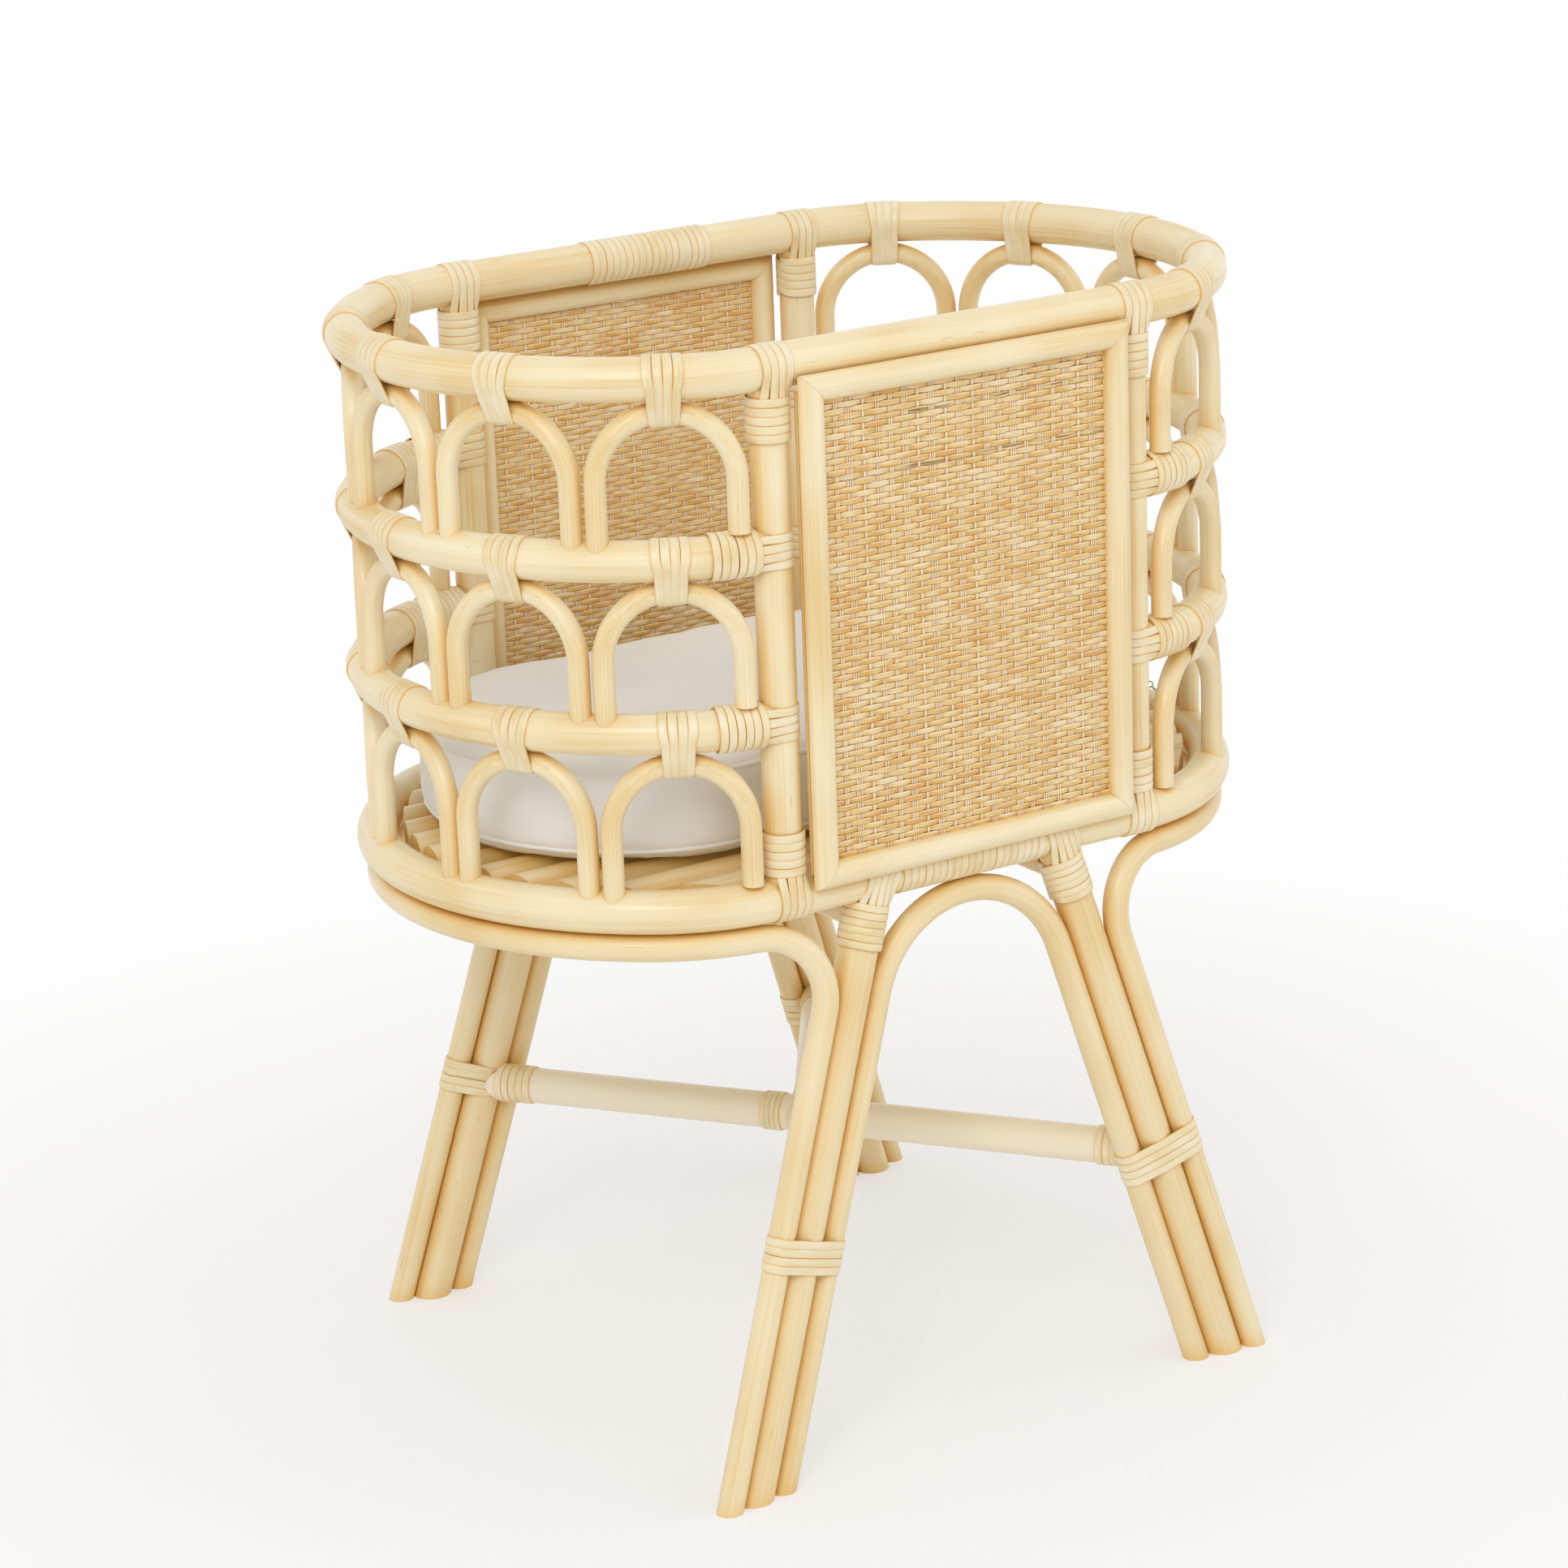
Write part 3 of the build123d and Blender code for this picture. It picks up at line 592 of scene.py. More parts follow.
def cane_finish(name, light, mid, deep, dark, painted_shade, mottle, painted_highlight):
    """Peel or cane: streaks along the strip, a tone of its own, and painted amber shade at the strip's
    edges and where strips meet. The mottle is how much the tone changes along one strip; the last
    argument is how strong a painted highlight is on the strip's upper edge. A tone over one is the
    inner cane, which is paler all over, and one below nought is a stained strand."""
    finish = Finish(name, Coat_Weight=0.3, Coat_Roughness=0.22, IOR=1.45)
    run = finish.add("Attribute", {"attribute_name": "run"}, None, 1)
    along, across, tone = finish.xyz(run)
    streak = finish.noise(finish.place(along * 45, across * 3.2, tone * 97), 1.0, 2.0)
    patch = finish.noise(finish.place(along * 50, across * 0.4, tone * 53), 1.0, 1.0)
    spot = finish.spot()
    x, y, z = finish.xyz(spot)
    region = finish.noise(finish.place(x * 24, y * 24, z * 60), 1.0, 1.0)
    own = abs(tone) * 0.25 + (patch - 0.5) * mottle + (streak - 0.5) * 0.9 + region - 0.1
    colour = finish.paint(own.ramp(0.1, 0.55), deep, mid)
    colour = finish.paint(own.ramp(0.5, 0.95), colour, light)
    # Painted highlight: the strip's upper edge is paled towards white, for the light that falls on it
    # from above.
    colour = finish.paint(across.ramp(0.25, 0.7, 0.0, painted_highlight), colour, fibre_and_highlight_white)
    inner = tone > 1.1
    outer = 1.0 - inner
    colour = finish.paint(inner * 0.55, colour, fibre_and_highlight_white)
    length = finish.noise(finish.place(along * 15, across * 1.6, tone * 31), 1.0, 1.0)
    stain = (tone < -0.5) * length.ramp(0.44, 0.56) * streak.ramp(0.35, 0.55, 0.25, 1.0)
    colour = finish.paint(stain * abs(across).ramp(0.25, 0.85, 0.95, 0.3), colour, dark)
    # Painted shade: the strip's edges, and the hollows that ambient occlusion finds within 4 mm, are
    # mixed towards the amber shade colour.
    edge = abs(across).ramp(0.75, 0.97, 0.0, 0.6) * (outer * 0.7 + 0.3)
    open_sky = finish.add("AmbientOcclusion", {"samples": 2}, {"Distance": 0.004}, 1)
    crevice = open_sky.ramp(0.1, 0.8, 0.9, 0.0) * (outer * 0.3 + 0.7)
    colour = finish.paint(edge, finish.paint(crevice, colour, painted_shade), painted_shade)
    bump = finish.add("Bump", None, {"Strength": 0.4, "Distance": 0.0003, "Height": streak})
    rough = patch.ramp(0.3, 0.7, 0.3, 0.52)
    return finish.wear(Base_Color=colour, Roughness=rough, Normal=bump)


# Light, mid, deep, stained, and last the amber of the painted shade at edges and crevices.
cane_tones = [inked(code) for code in ("edd9ac", "e4c47e", "dba95a", "7c5e30", "f3ad3c")]
cane = cane_finish("cane", *cane_tones, 2.0, 0.5)
for seed, face in ((3, "front"), (4, "back")):
    woven = webbing(face, seed)
    woven.piece(f"weave_{face}", cane, "cane_webbing", "cradle", f"webbing_{face}")


# --- Bindings ---
# Flat strips of rattan skin, wetted, wound tight over every joint and tucked in. At a tee the
# strips first pass over the crossing pole, and then more turns hold them down on the other one.

peel_t = 0.0013
peel_w = 0.0064
lift = peel_t * 0.8  # how far turns stand off that lie on other strips
# Light, mid, deep, stained, and last the amber of the painted shade at edges and crevices.
peel_tones = [inked(code) for code in ("f4e9cd", "efe0b8", "e8d09c", "a9803f", "edbd6c")]
peel = cane_finish("peel", *peel_tones, 0.9, 0.0)


def straight(origin, axis, across):
    """A place function for winding on a straight pole: the plane at distance t along the axis."""
    axis = Vector(axis).normalized()
    across = (Vector(across) - axis * axis.dot(Vector(across))).normalized()
    return lambda t: (Vector(origin) + axis * t, across, axis.cross(across))


def eased(value, low, high):
    share = min(max((value - low) / (high - low), 0.0), 1.0)
    return share * share * (3 - 2 * share)


def wind(strands, place, rounds, start, turns, pitch, chance, mirror=(1, 1), hidden=0.0, waist=1.0):
    """Turns of peel on the hull of the round poles, each given as (across, up, radius).

    Each turn is a plain ring, and steps over to the next at the hidden angle, where both ends are
    tucked in too. The waist is how much closer together the turns lie below.
    """
    steps = 36
    flip = Vector((mirror[0], mirror[1], 1))
    tone = chance.random()
    rings = [start + pitch * (k + 0.5) + chance.uniform(-0.03, 0.03) * pitch for k in range(turns)]
    middle = start + pitch * turns / 2
    points, normals, widths = [], [], []
    for i in range(turns * steps + 1):
        share = i / steps
        turn = hidden + 2 * pi * share
        t = rings[0]
        for k in range(1, turns):
            t += (rings[k] - rings[k - 1]) * eased(share, k - 0.13, k + 0.13)
        narrow = 1 + (waist - 1) * eased(-sin(turn), -0.6, 0.9)
        origin, across, up = place(middle + (t - middle) * narrow)
        facing = across * cos(turn) + up * sin(turn)
        a, u, r = max(rounds, key=lambda pole: pole[0] * cos(turn) + pole[1] * sin(turn) + pole[2])
        tuck = peel_t * (1 - eased(min(share, turns - share), 0.0, 0.08))  # the ends go under
        point = origin + across * a + up * u + facing * (r - tuck)
        points.append(point * flip)
        normals.append(facing * flip)
        beside, beside_across, _ = place(middle + (t + pitch - middle) * narrow)
        beside += (beside_across * cos(turn)) * r
        spread = (beside - origin - across * (cos(turn) * r)).length
        widths.append((spread + pitch) / 2 * (1.01 + 0.02 * sin(1.7 * turn + tone * 6)))
    strands.lay(points, normals, widths, peel_t, tone)


def saddle(strands, over, over_r, side, down, pole_r, count, width, reach, chance, mirror, bow=0.0):
    """Strips over the crossing pole, whose axis is side, and along both faces of the other pole.

    The bow is the curvature of that other pole.
    """
    side, down = Vector(side).normalized(), Vector(down).normalized()
    out = down.cross(side).normalized()
    level = side.cross(out).normalized()
    level = level if level.dot(down) > 0 else -level
    stretch = 1 / level.dot(down)
    square = (side - down * side.dot(down)).normalized()
    flip = Vector((mirror[0], mirror[1], 1))
    lands = over_r + 0.0045
    tone = chance.random()
    for k in range(count):
        offset = (k - (count - 1) / 2) * width
        drop = sqrt(pole_r**2 - offset**2)
        leaves = atan2(lands, drop) - acos(over_r / hypot(lands, drop))
        half = []
        for i in range(13):
            turn = -pi / 2 + (leaves + pi / 2) * i / 12
            along = side * offset + down * (sin(turn) * over_r * stretch)
            half.append((along, cos(turn) * over_r, out * cos(turn) + level * sin(turn)))
        _, from_away, from_facing = half[-1]
        on_pole = (square * offset + out * drop).normalized()
        for share in (0.34, 0.67, 1.0):
            fall = (sin(leaves) * over_r * (1 - share) + lands * share) * stretch
            along = down * fall + side * (offset * (1 - share)) + square * (offset * share)
            away = from_away * (1 - share) + drop * share
            half.append((along, away, (from_facing * (1 - share) + on_pole * share).normalized()))
        half.append((down * reach + square * offset, drop, on_pole))
        points, normals = [], []
        for along, away, facing in reversed(half):
            points.append(over + along + out * (away - bow * along.dot(down) ** 2 / 2))
            normals.append(facing)
        for along, away, facing in half[1:]:
            points.append(over + along - out * (away + bow * along.dot(down) ** 2 / 2))
            normals.append(facing - out * (2 * facing.dot(out)))
        shade = tone + chance.uniform(-0.15, 0.15)
        points, normals = [p * flip for p in points], [n * flip for n in normals]
        strands.lay(points, normals, [width] * len(points), peel_t, shade)


post_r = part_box("post_front_right")[1].x - half_straight
mid_rail_r = 0.015
clear = 0.0035  # from the rail to the first turn below it
post_reach = 0.040  # how far the strips over a rail run along the post
mid_reach = 0.022  # how far the strips over a post run along the mid rail
mid_clear = 0.0015
mid_pitch = 0.0057
leg_reach = 0.045
leg_strip_w = 0.0057
leg_pitch = 0.0056
four = [(x, y) for x in (1, -1) for y in (1, -1)]
chance = Random(11)
down = Vector((0, 0, -1))

for node, z, way in (("post_top_bindings", top_z, down), ("post_foot_bindings", base_z, -down)):
    ties = Strands(PEEL)
    crossing = Vector((half_straight, -half_width, z))
    for quarter in four:
        saddle(ties, crossing, rail_r, (1, 0, 0), way, post_r, 4, peel_w, post_reach, chance, quarter)
        place = straight(crossing, way, (-1, 0, 0))
        rounds = [(0, 0, post_r + lift)]
        wind(ties, place, rounds, rail_r + clear, 5, peel_w, chance, quarter)
    ties.piece(node.replace("bindings", "peel"), peel, "rattan_peel", "cradle", node)


def on_rail(z):
    """A place function for winding on the right end of a rail: t is the distance from the post."""

    def place(t):
        turn = t / corner_r - pi / 2
        out = Vector((cos(turn), sin(turn), 0))
        centre = Vector((half_straight, -corner_y, z))
        return centre + out * corner_r, out, Vector((0, 0, 1))

    return place


for height in ("upper", "lower"):
    low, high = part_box(f"{height}_mid_rail_right")
    z = (low.z + high.z) / 2
    ties = Strands(PEEL)
    crossing = Vector((half_straight, -half_width, z))
    for quarter in four:
        poles = (post_r, (0, 0, 1), (1, 0, 0), mid_rail_r)
        saddle(ties, crossing, *poles, 4, peel_w, mid_reach, chance, quarter, bow=1 / corner_r)
        rounds = [(0, 0, mid_rail_r + lift)]
        start = post_r + mid_clear
        wind(ties, on_rail(z), rounds, start, 6, mid_pitch, chance, quarter, hidden=-2.2)
    node = f"{height}_mid_bindings"
    ties.piece(f"{height}_mid_peel", peel, "rattan_peel", "cradle", node)

ties = Strands(PEEL)
for quarter in four:
    poles = (rail_r, (1, 0, 0), -leg_axis, leg_r)
    saddle(ties, leg_top, *poles, 5, leg_strip_w, leg_reach, chance, quarter)
    place = straight(leg_top, -leg_axis, (-1, 0, 0))
    wind(ties, place, [(0, 0, leg_r + lift)], rail_r + clear, 6, leg_pitch, chance, quarter)
ties.piece("leg_top_peel", peel, "rattan_peel", "cradle", "leg_top_bindings")

outer_turn = radians(16)  # the outer pole lies this far round the leg
flanks = [(-abreast, 0), (abreast * cos(outer_turn), -abreast * sin(outer_turn))]
band_below = 0.0115  # how far below the stretchers' axis a band starts
band_pitch = 0.0066
ties = Strands(PEEL)
for quarter in four:
    place = straight(foot, leg_axis, (1, 0, 0))
    rounds = [(0, 0, leg_r)] + [(a, u, flank_r) for a, u in flanks]
    start = stretcher_z / leg_axis.z - band_below
    wind(ties, place, rounds, start, 4, band_pitch, chance, quarter, hidden=pi / 2)
ties.piece("leg_band_peel", peel, "rattan_peel", "cradle", "leg_bands")


# --- Ties at the tops of the arches ---
# Flat strips of rattan skin. Four turns hold each arch up against the rail over it, and they lie
# closer together round the thin arch than over the rail.


def station(s):
    """The centreline point at distance s from the middle of the right end, and the way outwards."""
    if abs(s) <= end_r * end_swing:
        turn = s / end_r
        centre, radius = Vector((end_x, 0, 0)), end_r
    else:
        side = 1 if s > 0 else -1
        turn = side * (end_swing + (abs(s) - end_r * end_swing) / corner_r)
        centre, radius = Vector((half_straight, side * corner_y, 0)), corner_r
    out = Vector((cos(turn), sin(turn), 0))
    return centre + out * radius, out


arch_inset = 0.003  # the arch's axis lies this far inside the rail's
arch_slack = 0.0012  # between the arch and the strips under it
tie_pitch = 0.0068
carried_by = {
    "top": (top_z, rail_r),
    "middle": (sum(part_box("upper_mid_rail_right"), Vector()).z / 2, mid_rail_r),
    "bottom": (sum(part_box("lower_mid_rail_right"), Vector()).z / 2, mid_rail_r),
}
for tier, (z, radius) in carried_by.items():
    for side, x in (("left", -1), ("right", 1)):
        ties = Strands(PEEL)
        for i in range(arch_count):
            middle = (i - (arch_count - 1) / 2) * arch_pitch

            def place(t, middle=middle, z=z):
                spot, out = station(middle + t)
                return spot + Vector((0, 0, z)), out, Vector((0, 0, 1))

            drop = z - tiers[tier] + arch_slack
            rounds = [(0, 0, radius), (-arch_inset, -drop, arch_r)]
            wind(ties, place, rounds, -2 * tie_pitch, 4, tie_pitch, chance, (x, 1), -pi / 2, waist=0.74)
        node = f"arch_bindings_{tier}_{side}"
        ties.piece(f"arch_peel_{tier}_{side}", peel, "rattan_peel", "cradle", node)


# --- Bindings on the stretchers and the long wraps on the rails ---
# Flat strips of rattan skin again. They cover the stretchers' joints and lash their crossing both
# ways, and long close wraps go round the closed rails.

wrap_pitch = 0.0066
stretcher_pitch = 0.0062
end_binding = 0.0315  # how long the winding at a stretcher's end is
crossing_pitch = 0.0042
crossing_from = 0.0215  # from the middle to the first turn on an arm
lash_w = 0.0062
ties = Strands(PEEL)
middle = Vector((0, 0, stretcher_z))
toward = (stretcher_end - middle).normalized()
reach = (stretcher_end - middle).length
for quarter in four:
    place = straight(middle, toward, (0, 0, 1))
    rounds = [(0, 0, stretcher_r)]
    start = reach - leg_r - end_binding
    wind(ties, place, rounds, start, 5, stretcher_pitch, chance, quarter, hidden=pi)
ties.piece("stretcher_end_peel", peel, "rattan_peel", "cradle", "stretcher_end_bindings")


def lashing(strands, heading, spread, chance):
    """One loop over and under the crossing, in the upright plane with this heading."""
    ahead = Vector((cos(heading), sin(heading), 0))
    points, normals = [], []
    for i in range(49):
        turn = 2 * pi * i / 48 - pi / 2
        points.append(middle + ahead * (spread * cos(turn)) + Vector((0, 0, stretcher_r * sin(turn))))
        facing = ahead * (cos(turn) / spread) + Vector((0, 0, sin(turn) / stretcher_r))
        normals.append(facing.normalized())
    strands.lay(points, normals, [lash_w] * len(points), peel_t, chance.random())


ties = Strands(PEEL)
arm_turn = atan2(abs(toward.y), toward.x)
for quarter in four:
    place = straight(middle, toward, (0, 0, 1))
    rounds = [(0, 0, stretcher_r)]
    wind(ties, place, rounds, crossing_from, 4, crossing_pitch, chance, quarter, hidden=pi)
for slant in (-0.24, 0.0, 0.24):
    lashing(ties, slant, stretcher_r / sin(arm_turn - 0.12), chance)
    lashing(ties, pi / 2 + slant * 0.8, stretcher_r / cos(arm_turn + 0.12), chance)
ties.piece("crossing_peel", peel, "rattan_peel", "cradle", "crossing_binding")

for node in ("bottom_rail_wraps", "top_rail_wrap"):
    low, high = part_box(node)
    z = (low.z + high.z) / 2
    turns = round((high.x - low.x) / wrap_pitch)
    pitch = (high.x - low.x) / (turns + 1)
    ties = Strands(PEEL)
    for y in (-1, 1) if node == "bottom_rail_wraps" else (1,):
        place = straight((low.x, y * half_width, z), (1, 0, 0), (0, y, 0))
        hidden = pi if node == "bottom_rail_wraps" else -pi / 2
        wind(ties, place, [(0, 0, rail_r)], pitch / 2, turns, pitch, chance, hidden=hidden)
    ties.piece(node.replace("wrap", "peel"), peel, "rattan_peel", "cradle", node)


# --- Mattress ---
# A foam pad in a white cotton cover, sewn with piping in both seams. The foam fills it, so that the
# cover swells a little between the seams.

low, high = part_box("mattress")
heart = (low + high) / 2
cover = Finish("cotton_cover", Sheen_Weight=0.2)
spot = cover.spot()
x, y, z = cover.xyz(spot)
thread = cover.noise(cover.place(x * 2600, y * 500, z * 2600), 1.0, 1.0)
cross_thread = cover.noise(cover.place(x * 500, y * 2600, z * 500), 1.0, 1.0)
crease = cover.noise(spot, 9.0, 3.0)
ruck = cover.noise(cover.place(x * 16, y * 34, z * 70), 1.0, 2.0)
linen = cover.paint((crease * 0.5 + thread * 0.5).ramp(0.25, 0.7), inked("f3f6f9"), inked("fcfeff"))
relief = (thread + cross_thread) * 0.04 + crease + ruck * 0.5
relief = cover.add("Bump", None, {"Strength": 0.5, "Distance": 0.004, "Height": relief})
cover.wear(Base_Color=linen, Roughness=crease.ramp(0.3, 0.7, 0.78, 0.92), Normal=relief)


def settled(thing):
    """The mesh that its modifiers give at this moment."""
    return bpy.data.meshes.new_from_object(thing.evaluated_get(bpy.context.evaluated_depsgraph_get()))


pad = bpy.data.objects.new("mattress_pad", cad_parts["mattress"].data.copy())
scene.collection.objects.link(pad)
slack = 0.004  # room for the cover to swell in
for vertex in pad.data.vertices:
    for axis in range(3):
        size = high[axis] - low[axis]
        vertex.co[axis] = heart[axis] + (vertex.co[axis] - heart[axis]) * (1 - 2 * slack / size)
pad.modifiers.new("even", "REMESH").voxel_size = 0.006
pad.data = settled(pad)
pad.modifiers.clear()
before_filling = [vertex.co.copy() for vertex in pad.data.vertices]
cloth = pad.modifiers.new("filling", "CLOTH")
cloth.settings.use_pressure = True
cloth.settings.uniform_pressure_force = 4
cloth.settings.quality = 4
cloth.settings.effector_weights.gravity = 0
for moment in range(1, 21):
    scene.frame_set(moment)
pad.data = settled(pad)
pad.modifiers.clear()
scene.frame_set(1)

seam_inset = 0.012
seams = (low.z + seam_inset, high.z - seam_inset)
seam_width = 0.007
seam_depth = 0.0016
most = 0.007  # the furthest that the cover swells
core_half = 0.1  # half the line inside the pad that its rim is measured from
rim_starts = 0.1  # and the rim is what lies this far from it
for vertex, old in zip(pad.data.vertices, before_filling):
    swell = vertex.co - old
    vertex.co = old + swell * min(1.0, most / max(swell.length, 1e-6))
    rim = Vector((old.x - max(min(old.x, core_half), -core_half), old.y - heart.y, 0))
    near = max(1 - min(abs(old.z - seam) for seam in seams) / seam_width, 0.0)
    if rim.length > rim_starts:
        vertex.co -= rim.normalized() * (seam_depth * near * near)
    vertex.co.z = min(max(vertex.co.z, low.z), high.z)
pad.data.materials.clear()
pad.data.materials.append(cover.material)
pad.data.shade_smooth()
pad.modifiers.new("soft", "SUBSURF")
pad.data = settled(pad)
pad.modifiers.clear()
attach(pad, "mattress")
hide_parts("mattress")

pad_narrowness = 0.62
ray_length = 0.6  # from well outside the pad inwards
surface = BVHTree.FromPolygons(
    [vertex.co for vertex in pad.data.vertices], [face.vertices for face in pad.data.polygons]
)


def on_the_side(turn, height):
    """The point of the pad's side in this direction from its middle, and the way out from it."""
    reach = Vector((cos(turn), sin(turn) * pad_narrowness, 0))
    inside = Vector((core_half * reach.x, heart.y, height))
    start = inside + Vector((reach.x * ray_length, reach.y * ray_length, 0))
    point, normal, _, _ = surface.ray_cast(start, (inside - start).normalized())
    return point, Vector((normal.x, normal.y, 0)).normalized()


def cord_loop(name, height, radius):
    """Piping: cord wrapped in the cover's cloth and sewn into the seam all round."""
    loop = bpy.data.curves.new(name, "CURVE")
    loop.dimensions = "3D"
    loop.bevel_depth = radius
    loop.bevel_resolution = 3
    stitches = 160
    spline = loop.splines.new("POLY")
    spline.points.add(stitches - 1)
    for i, knot in enumerate(spline.points):
        point, out = on_the_side(2 * pi * i / stitches, height)
        knot.co = (*(point - out * (radius * 0.3)), 1.0)
    spline.use_cyclic_u = True
    loop.materials.append(cover.material)
    made = bpy.data.objects.new(name, loop)
    scene.collection.objects.link(made)
    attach(made, "mattress")
    return made


piping_r = 0.0021
for name, height in zip(("piping_lower", "piping_upper"), seams):
    cord_loop(name, height, piping_r)


# --- Zip ---
# A nylon zip on cotton tape, sewn into the cover round its right end. Its slider is nickel-plated,
# and the pull hangs from it by a wire ring and has a round eye.

zip_z = heart.z - 0.004
zip_start, zip_sweep, zip_knots = -1.15, 2.0, 120
zip_turns = [zip_start + zip_sweep * i / zip_knots for i in range(zip_knots + 1)]
tape_half, tape_w, tape_t = 0.0062, 0.009, 0.0006
tooth_h, tooth_t = 0.0024, 0.0008
track = [on_the_side(turn, zip_z) for turn in zip_turns]
points = [point + out * 0.0002 for point, out in track]
outs = [out for _, out in track]
tape = Strands(CANE)
for drop in (-tape_half, tape_half):
    shifted = [point + Vector((0, 0, drop)) for point in points]
    tape.lay(shifted, outs, [tape_w] * len(points), tape_t, 0.5)
tape.piece("zip_tape", cover.material, "mattress_cover", "mattress")

nylon = Finish("nylon_teeth", IOR=1.5)
spot = nylon.spot()
cloudy = nylon.noise(spot, 300.0, 2.0)
milk = nylon.paint(cloudy, inked("e4e2dc"), inked("f3f2ee"))
nylon.wear(Base_Color=milk, Roughness=cloudy.ramp(0.3, 0.7, 0.3, 0.45))
teeth = Strands(CANE)
for (point, out), (following, _) in zip(track, track[1:]):
    ahead = following - point
    for share, lean_up in ((0.0, 1), (0.25, -1), (0.5, 1), (0.75, -1)):
        root = point + ahead * share + out * tape_t
        reach = Vector((0, 0, tooth_h * lean_up))
        tooth = [root - reach * 0.2, root + reach * 0.5, root + reach]
        teeth.lay(tooth, [out] * 3, [0.0011, 0.0013, 0.0009], tooth_t, 0.5)
teeth.piece("zip_teeth", nylon.material, "mattress_cover", "mattress")

slider_metal = Finish("nickel", Metallic=1.0)
spot = slider_metal.spot()
rubbed = slider_metal.noise(spot, 500.0, 3.0)
shade = slider_metal.paint(rubbed, inked("a8a6a0"), inked("d9d7d0"))
slider_metal.wear(Base_Color=shade, Roughness=rubbed.ramp(0.3, 0.7, 0.22, 0.4))


def eyed_plate(shape, centre, across, long, out, half_long, half_wide, eye, thick):
    """A flat plate with round ends and a round eye through it."""
    count = 28
    rings = []
    for i in range(count):
        turn = 2 * pi * i / count
        end = (half_long - half_wide) * (1 if sin(turn) > 0 else -1)
        rim = across * (cos(turn) * half_wide) + long * (sin(turn) * half_wide + end)
        hole = across * (cos(turn) * eye) + long * (sin(turn) * eye - half_long + half_wide)
        corners = []
        for place, face in ((rim, -1), (rim, 1), (hole, 1), (hole, -1)):
            chamfer = 0.94 if place is rim else 1.0
            corners.append(shape.verts.new(centre + place * chamfer + out * (thick / 2 * face)))
        corners.insert(1, shape.verts.new(centre + rim * 1.03))
        rings.append(corners)
    for ring, following in zip(rings, rings[1:] + rings[:1]):
        for j in range(5):
            k = (j + 1) % 5
            shape.faces.new((ring[j], ring[k], following[k], following[j]))


def loop_of_wire(shape, centre, first, second, radius, wire):
    """A closed ring of round wire in the plane of the two directions."""
    rings = []
    third = first.cross(second)
    for i in range(24):
        turn = 2 * pi * i / 24
        way = first * cos(turn) + second * sin(turn)
        ring = []
        for j in range(8):
            roll = 2 * pi * j / 8
            level = centre + way * (radius + wire * cos(roll))
            ring.append(shape.verts.new(level + third * (wire * sin(roll))))
        rings.append(ring)
    for ring, following in zip(rings, rings[1:] + rings[:1]):
        for j in range(8):
            k = (j + 1) % 8
            shape.faces.new((ring[j], ring[k], following[k], following[j]))


slider_turn = -0.64
point, out = on_the_side(slider_turn, zip_z)
upward = Vector((0, 0, 1))
ahead = upward.cross(out)
# The slider's body and the smaller plate on it, then the ring, and last the pull hanging from that
shape = bmesh.new()
eyed_plate(shape, point + out * 0.0022, upward, ahead, out, 0.0055, 0.0042, 0.0008, 0.0016)
eyed_plate(shape, point + out * 0.0042, upward, ahead, out, 0.0032, 0.0016, 0.0006, 0.0014)
loop_of_wire(shape, point + out * 0.0062 - upward * 0.002, upward, out, 0.0024, 0.0006)
hang = (upward * -0.72 + out * 0.69).normalized()
eye_place = point + out * 0.0078 - upward * 0.004 + hang * 0.0088
eyed_plate(shape, eye_place, ahead, -hang, hang.cross(ahead), 0.0085, 0.0046, 0.0028, 0.0013)
bmesh.ops.recalc_face_normals(shape, faces=shape.faces)
mesh = bpy.data.meshes.new("zip_slider")
shape.to_mesh(mesh)
shape.free()
mesh.materials.append(slider_metal.material)
slider = bpy.data.objects.new("zip_slider", mesh)
scene.collection.objects.link(slider)
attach(slider, "mattress")


# --- Floor and light ---
# A floor of white studio paper, which keeps the cradle's soft shadow and fades into the white
# around it. Two wide soft lamps and the room's own light fall on the cradle.

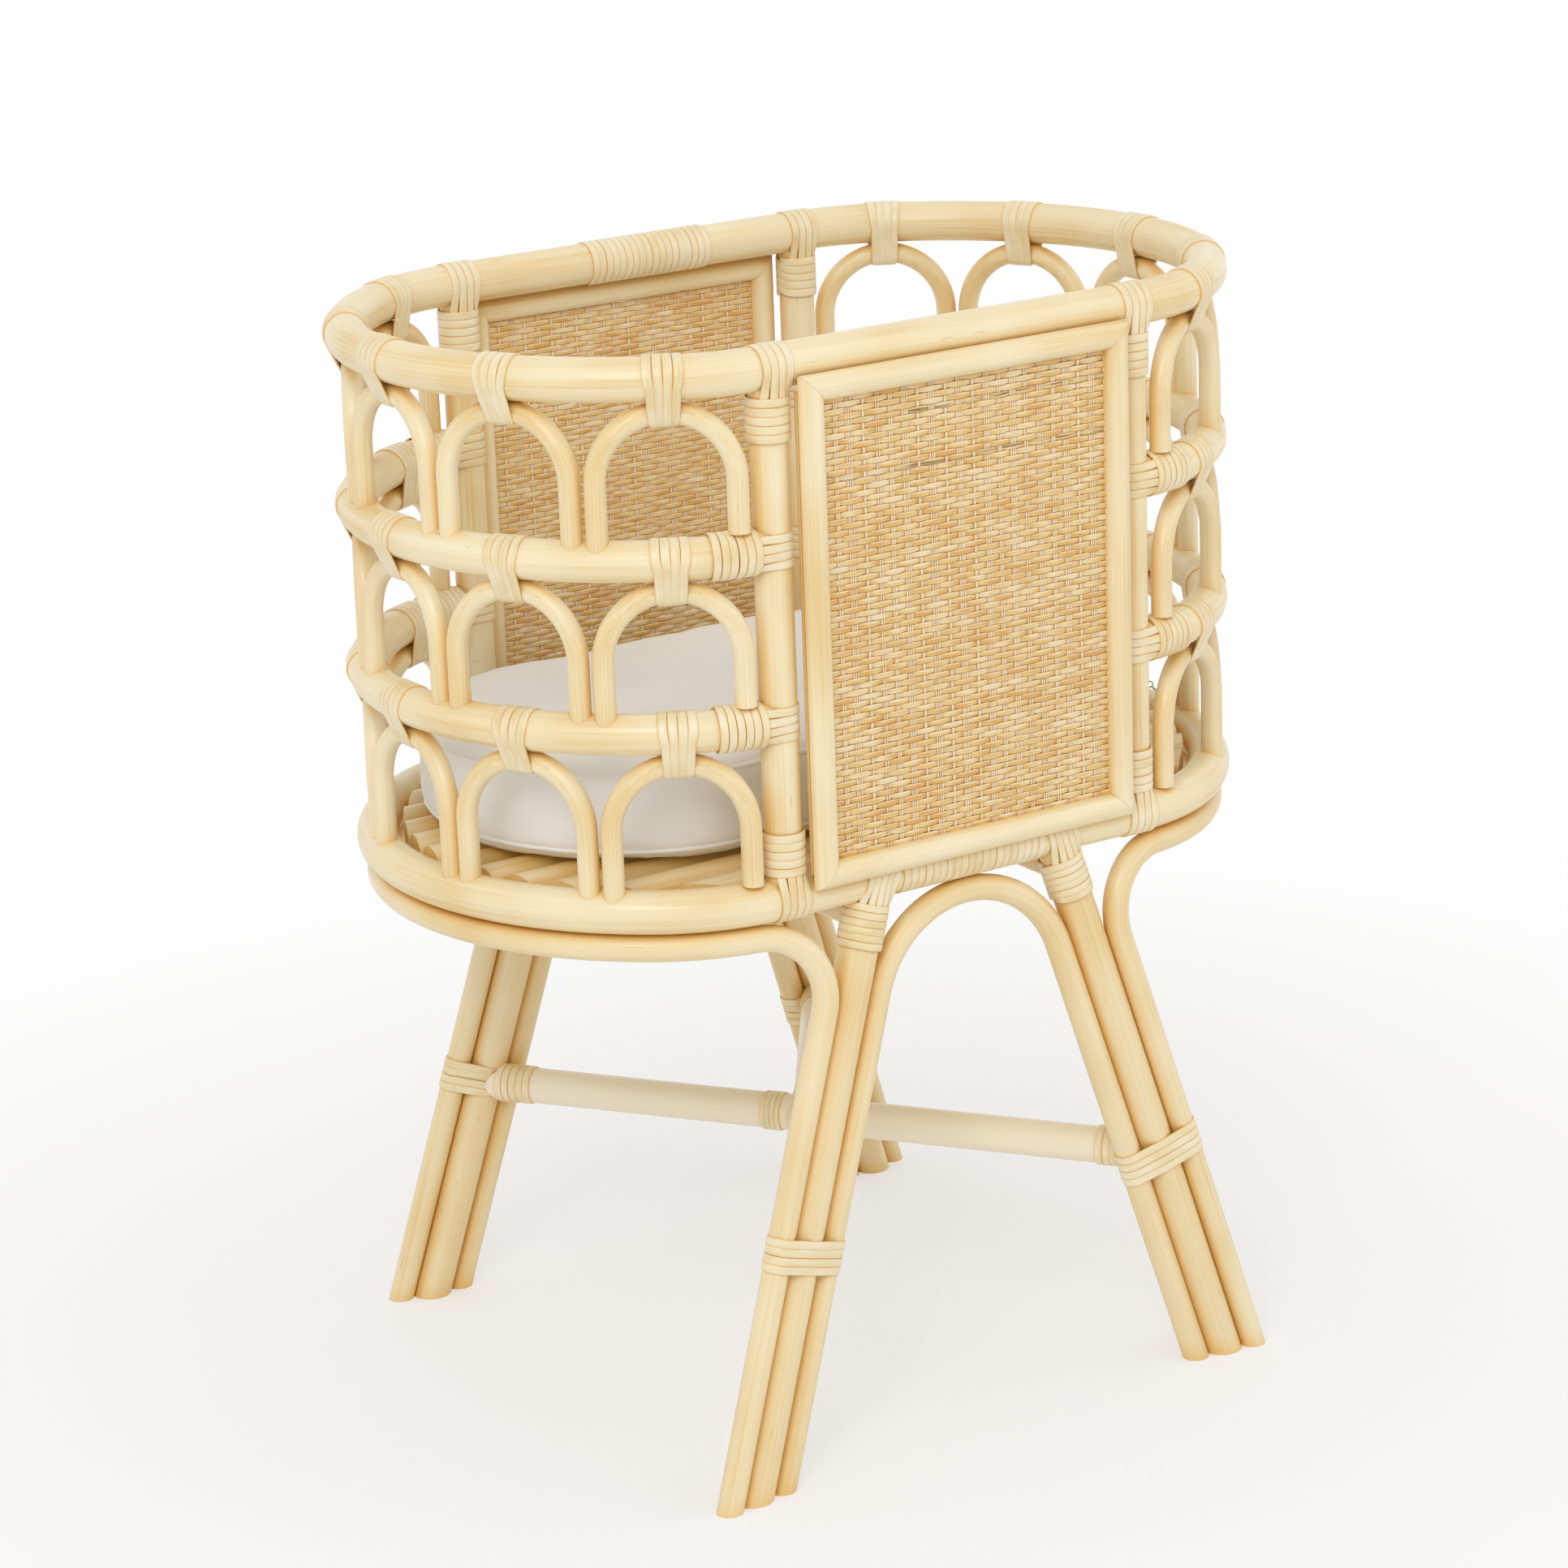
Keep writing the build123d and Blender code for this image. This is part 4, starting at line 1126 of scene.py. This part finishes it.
floor_half = 14
sheet = [(-floor_half, -floor_half, 0), (floor_half, -floor_half, 0)]
sheet += [(floor_half, floor_half, 0), (-floor_half, floor_half, 0)]
floor = bpy.data.objects.new("floor", bpy.data.meshes.new("floor"))
floor.data.from_pydata(sheet, [], [(0, 1, 2, 3)])
scene.collection.objects.link(floor)
paper = Finish("studio_paper", Roughness=0.95)
paper.shader.inputs["Base Color"].default_value = inked("f3f3f3")
spot = paper.spot()
away = paper.add("VectorMath", {"operation": "LENGTH"}, {0: spot}, 1)
paper_white = (1.0, 1.0, 1.0, 1.0)


def shown(nodes):
    """One for the rays that show the backdrop: the camera's, and those off metal and through glass."""
    kinds = ("Is Camera Ray", "Is Glossy Ray", "Is Transmission Ray")
    rays = sum(nodes.add("LightPath", None, None, kind) for kind in kinds)
    return rays.maths("MINIMUM", rays, 1.0)


white = paper.add("Emission", None, {"Color": paper_white, "Strength": 1.0})
share = shown(paper) * away.ramp(0.2, 1.5, 0.45, 1.0)
mixed = paper.add("MixShader", None, {0: share, 1: Wire(paper, paper.shader.outputs[0]), 2: white})
paper.tree.links.new(mixed.socket, paper.tree.nodes["Material Output"].inputs["Surface"])
floor.data.materials.append(paper.material)

scene.world = bpy.data.worlds.new("studio")
scene.world.use_nodes = True
room = Nodes(scene.world.node_tree)
sky = room.tree.nodes["Background"]
sky.inputs["Color"].default_value = (1.0, 0.99, 0.975, 1.0)
sky.inputs["Strength"].default_value = 0.77
wall = room.add("Background", None, {"Color": paper_white})
mixed = room.add("MixShader", None, {0: shown(room), 1: Wire(room, sky.outputs[0]), 2: wall})
room.tree.links.new(mixed.socket, room.tree.nodes["World Output"].inputs["Surface"])


def lamp(name, place, target, size, power):
    light = bpy.data.objects.new(name, bpy.data.lights.new(name, "AREA"))
    light.data.size = size
    light.data.energy = power
    light.location = place
    light.rotation_mode = "QUATERNION"
    light.rotation_quaternion = (Vector(target) - Vector(place)).to_track_quat("-Z", "Y")
    scene.collection.objects.link(light)


lamp("key", (-2.4, -2.4, 3.2), (0, 0, 0.5), 1.8, 45)
lamp("fill", (2.8, -2.0, 2.0), (0, 0, 0.5), 2.5, 13)

scene.view_settings.view_transform = "Standard"
